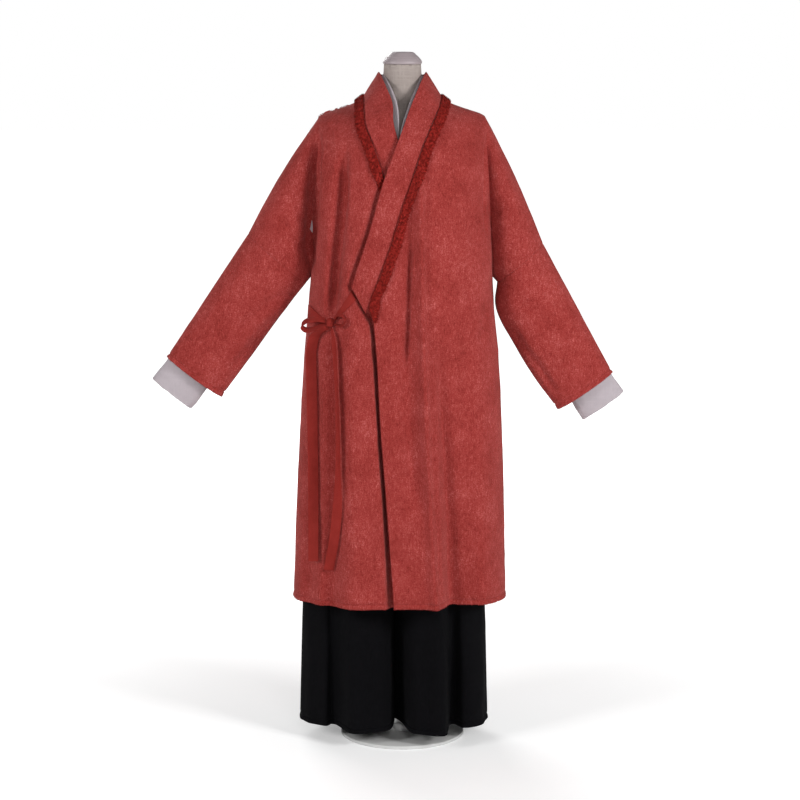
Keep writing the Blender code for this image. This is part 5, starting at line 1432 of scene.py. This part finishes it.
def make_knot():
    """The knot: a turn of tape wrapped over a tight core, with creases across it."""
    rings = []
    x, y, z = KNOT
    for k in range(KNOT_RINGS + 1):
        turn = math.pi * (0.02 + 0.96 * k / KNOT_RINGS)
        ring = []
        for j in range(KNOT_SIDES):
            angle = 2 * math.pi * j / KNOT_SIDES
            wrap = 1 + 0.07 * math.sin(3 * turn + 2 * math.sin(angle)) - 0.10 * abs(math.sin(2 * turn + angle)) ** 6
            squeeze = 1 - 0.12 * math.sin(turn) ** 8
            ring.append((x + KNOT_SIZE[0] * math.sin(turn) ** 0.8 * math.cos(angle) * wrap * squeeze,
                         y + KNOT_SIZE[1] * math.sin(turn) ** 0.8 * math.sin(angle) * wrap * squeeze,
                         z - KNOT_SIZE[2] * math.cos(turn)))
        rings.append(ring)
    points = [p for ring in rings for p in ring]
    faces = [tuple(q) for q in grid_quads(KNOT_RINGS + 1, KNOT_SIDES, ring=True)]
    faces += [tuple(range(KNOT_SIDES))[::-1], tuple(range(KNOT_RINGS * KNOT_SIDES, (KNOT_RINGS + 1) * KNOT_SIDES))]
    piece = mesh_piece("tape_tie_knot", points, faces, "tape")
    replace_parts(piece, "tie_knot")
    return piece


# The trousers

def make_trouser_panel(leg, face):
    node = f"trousers_{leg}_{face}"
    heights = np.concatenate([TROUSER_HEM + HEM_STEPS, np.arange(TROUSER_HEM + 0.03, WAIST_Z, 0.012), [WAIST_Z]])
    grid = [[trouser_place(leg, face, share, z) for share in TROUSER_SHARES] for z in heights]
    side = 1 if leg == "left" else -1
    way = -1 if face == "front" else 1

    def relief(points, normals):
        low = soft((0.75 - points[:, 2]) / 0.6)
        out = waves(points, 0.05, 0.0022) * low + waves(points, 0.018, 0.0006, 4.0)
        drape = np.sin(points[:, 0] * 95 + 3 * points[:, 2] + way) * 0.0022 * low
        inside = soft(np.abs(points[:, 1]) / 0.025)
        return normals * ((out + drape) * inside + hem_relief(points[:, 2] - TROUSER_HEM))[:, None]

    def outward(points):
        return points - np.array([INSEAM_X + side * 0.1, 0, 0.4])

    piece, tree = grid_cloth(f"cloth_{node}", grid, TROUSER_WALL, "trousers", outward, relief=relief)
    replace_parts(piece, node)
    return piece


# The dress form and its stand

def fine_turns(profile, steps):
    """Rings between the corners of a turned profile."""
    rings = []
    for (za, ra), (zb, rb) in zip(profile, profile[1:]):
        rings += [(za + (zb - za) * k / steps, ra + (rb - ra) * k / steps) for k in range(steps)]
    return rings + [profile[-1]]


CAP_PROFILE = [(1.5750, 0.0428), (1.5755, 0.0440), (1.5762, 0.0445), (1.5800, 0.0445), (1.5808, 0.0442),
               (1.5814, 0.0434), (1.5822, 0.0432), (1.5830, 0.0430), (1.5852, 0.0410), (1.5858, 0.0402),
               (1.5866, 0.0402), (1.5886, 0.0380), (1.5892, 0.0372), (1.5900, 0.0372), (1.5945, 0.0320),
               (1.5980, 0.0284), (1.5994, 0.0266), (1.6002, 0.0256), (1.6008, 0.0246), (1.6010, 0.0236)]
BASE_PROFILE = [(0.0000, 0.1440), (0.0010, 0.1450), (0.0058, 0.1450), (0.0070, 0.1446), (0.0077, 0.1437),
                (0.0080, 0.1425), (0.0080, 0.0260)]
SOCKET_PROFILE = [(0.0083, 0.0220), (0.0200, 0.0220), (0.0215, 0.0216), (0.0228, 0.0206), (0.0236, 0.0192),
                  (0.0240, 0.0178)]
POLE_PROFILE = [(0.0243, 0.0118), (0.0246, 0.0120), (0.8140, 0.0120), (0.8147, 0.0117)]


def make_form():
    refined("linen_form", "form_torso", "form", 2)
    for name, node, profile, look in (("turned_cap", "form_cap", CAP_PROFILE, "cap"),
                                      ("stand_plate", "stand_base", BASE_PROFILE, "stand"),
                                      ("stand_collar", "stand_socket", SOCKET_PROFILE, "stand"),
                                      ("stand_post", "stand_pole", POLE_PROFILE, "stand")):
        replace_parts(lathe(name, fine_turns(profile, 2), 96, look), node)


# The whole

left_body, left_tree, left_grid, _ = make_body("robe_left_body", SLEEVES["left"], "over")
right_body, right_tree, right_grid, _ = make_body("robe_right_body", SLEEVES["right"], "under")
left_sleeve, _ = make_sleeve("robe_left_sleeve", SLEEVES["left"])
right_sleeve, _ = make_sleeve("robe_right_sleeve", SLEEVES["right"])
collar, _ = make_collar()
trim_left, pile_left = make_trim("trim_left", left_grid, left_tree, 1, "over")
trim_right, pile_right = make_trim("trim_right", right_grid, right_tree, -1, "under", left_tree)
side_band = make_band("tie_side", right_tree, [(-0.2150, 1.026), (-0.205, 1.024), (-0.1745, 1.006)],
                      [(-0.2170, 0.985), (-0.205, 0.989), (-0.1748, 0.9975)])
collar_band = make_band("tie_collar", right_tree, [(-0.1158, 1.0716), (-0.135, 1.040), (-0.1545, 1.0085)],
                        [(-0.1052, 1.0524), (-0.130, 1.025), (-0.1525, 1.0010)])
knot = make_knot()
outer_loop = make_loop("tie_bow_outer", OUTER_LOOP, 0.022, (0.0, 0.90, 0.43))
inner_loop = make_loop("tie_bow_inner", INNER_LOOP, 0.014, (0.0, 0.94, 0.34))
ends = {name: make_end(name, end) for name, end in TIE_ENDS.items()}
panels = {(leg, face): make_trouser_panel(leg, face) for leg in ("left", "right") for face in ("front", "back")}
waistband = refined("cloth_waistband", "trousers_waistband", "trousers", 2)
under = {name: refined(f"cloth_{name}", name, "under", 2, wave, pitch) for name, wave, pitch in (
    ("under_left_body", 0.0, 0.05), ("under_right_body", 0.0, 0.05), ("under_collar", 0.0, 0.05),
    ("under_left_sleeve", 0.0018, 0.022), ("under_right_sleeve", 0.0018, 0.022))}
make_form()


# Camera, lights and floor

def aimed(thing, place, target):
    thing.location = place
    thing.rotation_euler = (Vector(target) - Vector(place)).to_track_quat("-Z", "Y").to_euler()
    bpy.context.scene.collection.objects.link(thing)


def soft_light(name, place, target, size, power):
    light = bpy.data.lights.new(name, "AREA")
    light.size = size
    light.energy = power
    aimed(bpy.data.objects.new(name, light), place, target)


camera = bpy.data.objects.new("camera", bpy.data.cameras.new("camera"))
camera.data.lens = 118.0
camera.data.sensor_width = 36.0
camera.location = (-0.0056, -6.0, 1.85)
camera.rotation_euler = (math.radians(90 - 9.935), 0, 0)
bpy.context.scene.collection.objects.link(camera)
bpy.context.scene.camera = camera

soft_light("key", (3.5, -2.8, 2.6), (0, 0, 0.9), 1.2, 125)
soft_light("left", (-3.6, -2.6, 2.4), (0, 0, 0.9), 1.2, 78)
soft_light("front", (0.6, -5.0, 2.6), (0, 0, 1.0), 1.6, 42)
soft_light("back", (-1.6, 4.0, 2.8), (0, 0, 0.9), 2.4, 100)
world = bpy.data.worlds.new("studio")
world.use_nodes = True
world.node_tree.nodes["Background"].inputs["Color"].default_value = (1, 1, 1, 1)
seen = world.node_tree.nodes.new("ShaderNodeLightPath")
strength = world.node_tree.nodes.new("ShaderNodeMapRange")
strength.inputs["To Min"].default_value = 0.17
strength.inputs["To Max"].default_value = 1.0
world.node_tree.links.new(seen.outputs["Is Camera Ray"], strength.inputs["Value"])
world.node_tree.links.new(strength.outputs["Result"], world.node_tree.nodes["Background"].inputs["Strength"])
bpy.context.scene.world = world
bpy.context.scene.view_settings.view_transform = "Standard"

floor_nodes = Nodes("studio_floor")
floor_colour = floor_nodes.tones(floor_nodes.grain(3), [(0.3, (0.90, 0.90, 0.90)), (0.7, (0.93, 0.93, 0.93))])
away = floor_nodes.node("VectorMath", {0: floor_nodes.place}, operation="LENGTH").outputs["Value"]
glow = floor_nodes.node("MapRange", {"Value": away, "From Min": 0.3, "From Max": 2.6, "To Min": 0.30, "To Max": 1.0},
                        interpolation_type="SMOOTHSTEP")
camera_ray = floor_nodes.node("LightPath").outputs["Is Camera Ray"]
shine = floor_nodes.math("MULTIPLY", glow.outputs["Result"], camera_ray)
floor_nodes.tree.links.new(shine, floor_nodes.shader.inputs["Emission Strength"])
floor_nodes.shader.inputs["Emission Color"].default_value = (1, 1, 1, 1)
floor_mesh = bpy.data.meshes.new("floor")
floor_mesh.from_pydata([(x, y, 0.0) for x, y in ((-20, -20), (20, -20), (20, 20), (-20, 20))], [], [(0, 1, 2, 3)])
floor_mesh.materials.append(floor_nodes.finish(floor_colour, 0.9))
floor = bpy.data.objects.new("floor", floor_mesh)
bpy.context.scene.collection.objects.link(floor)
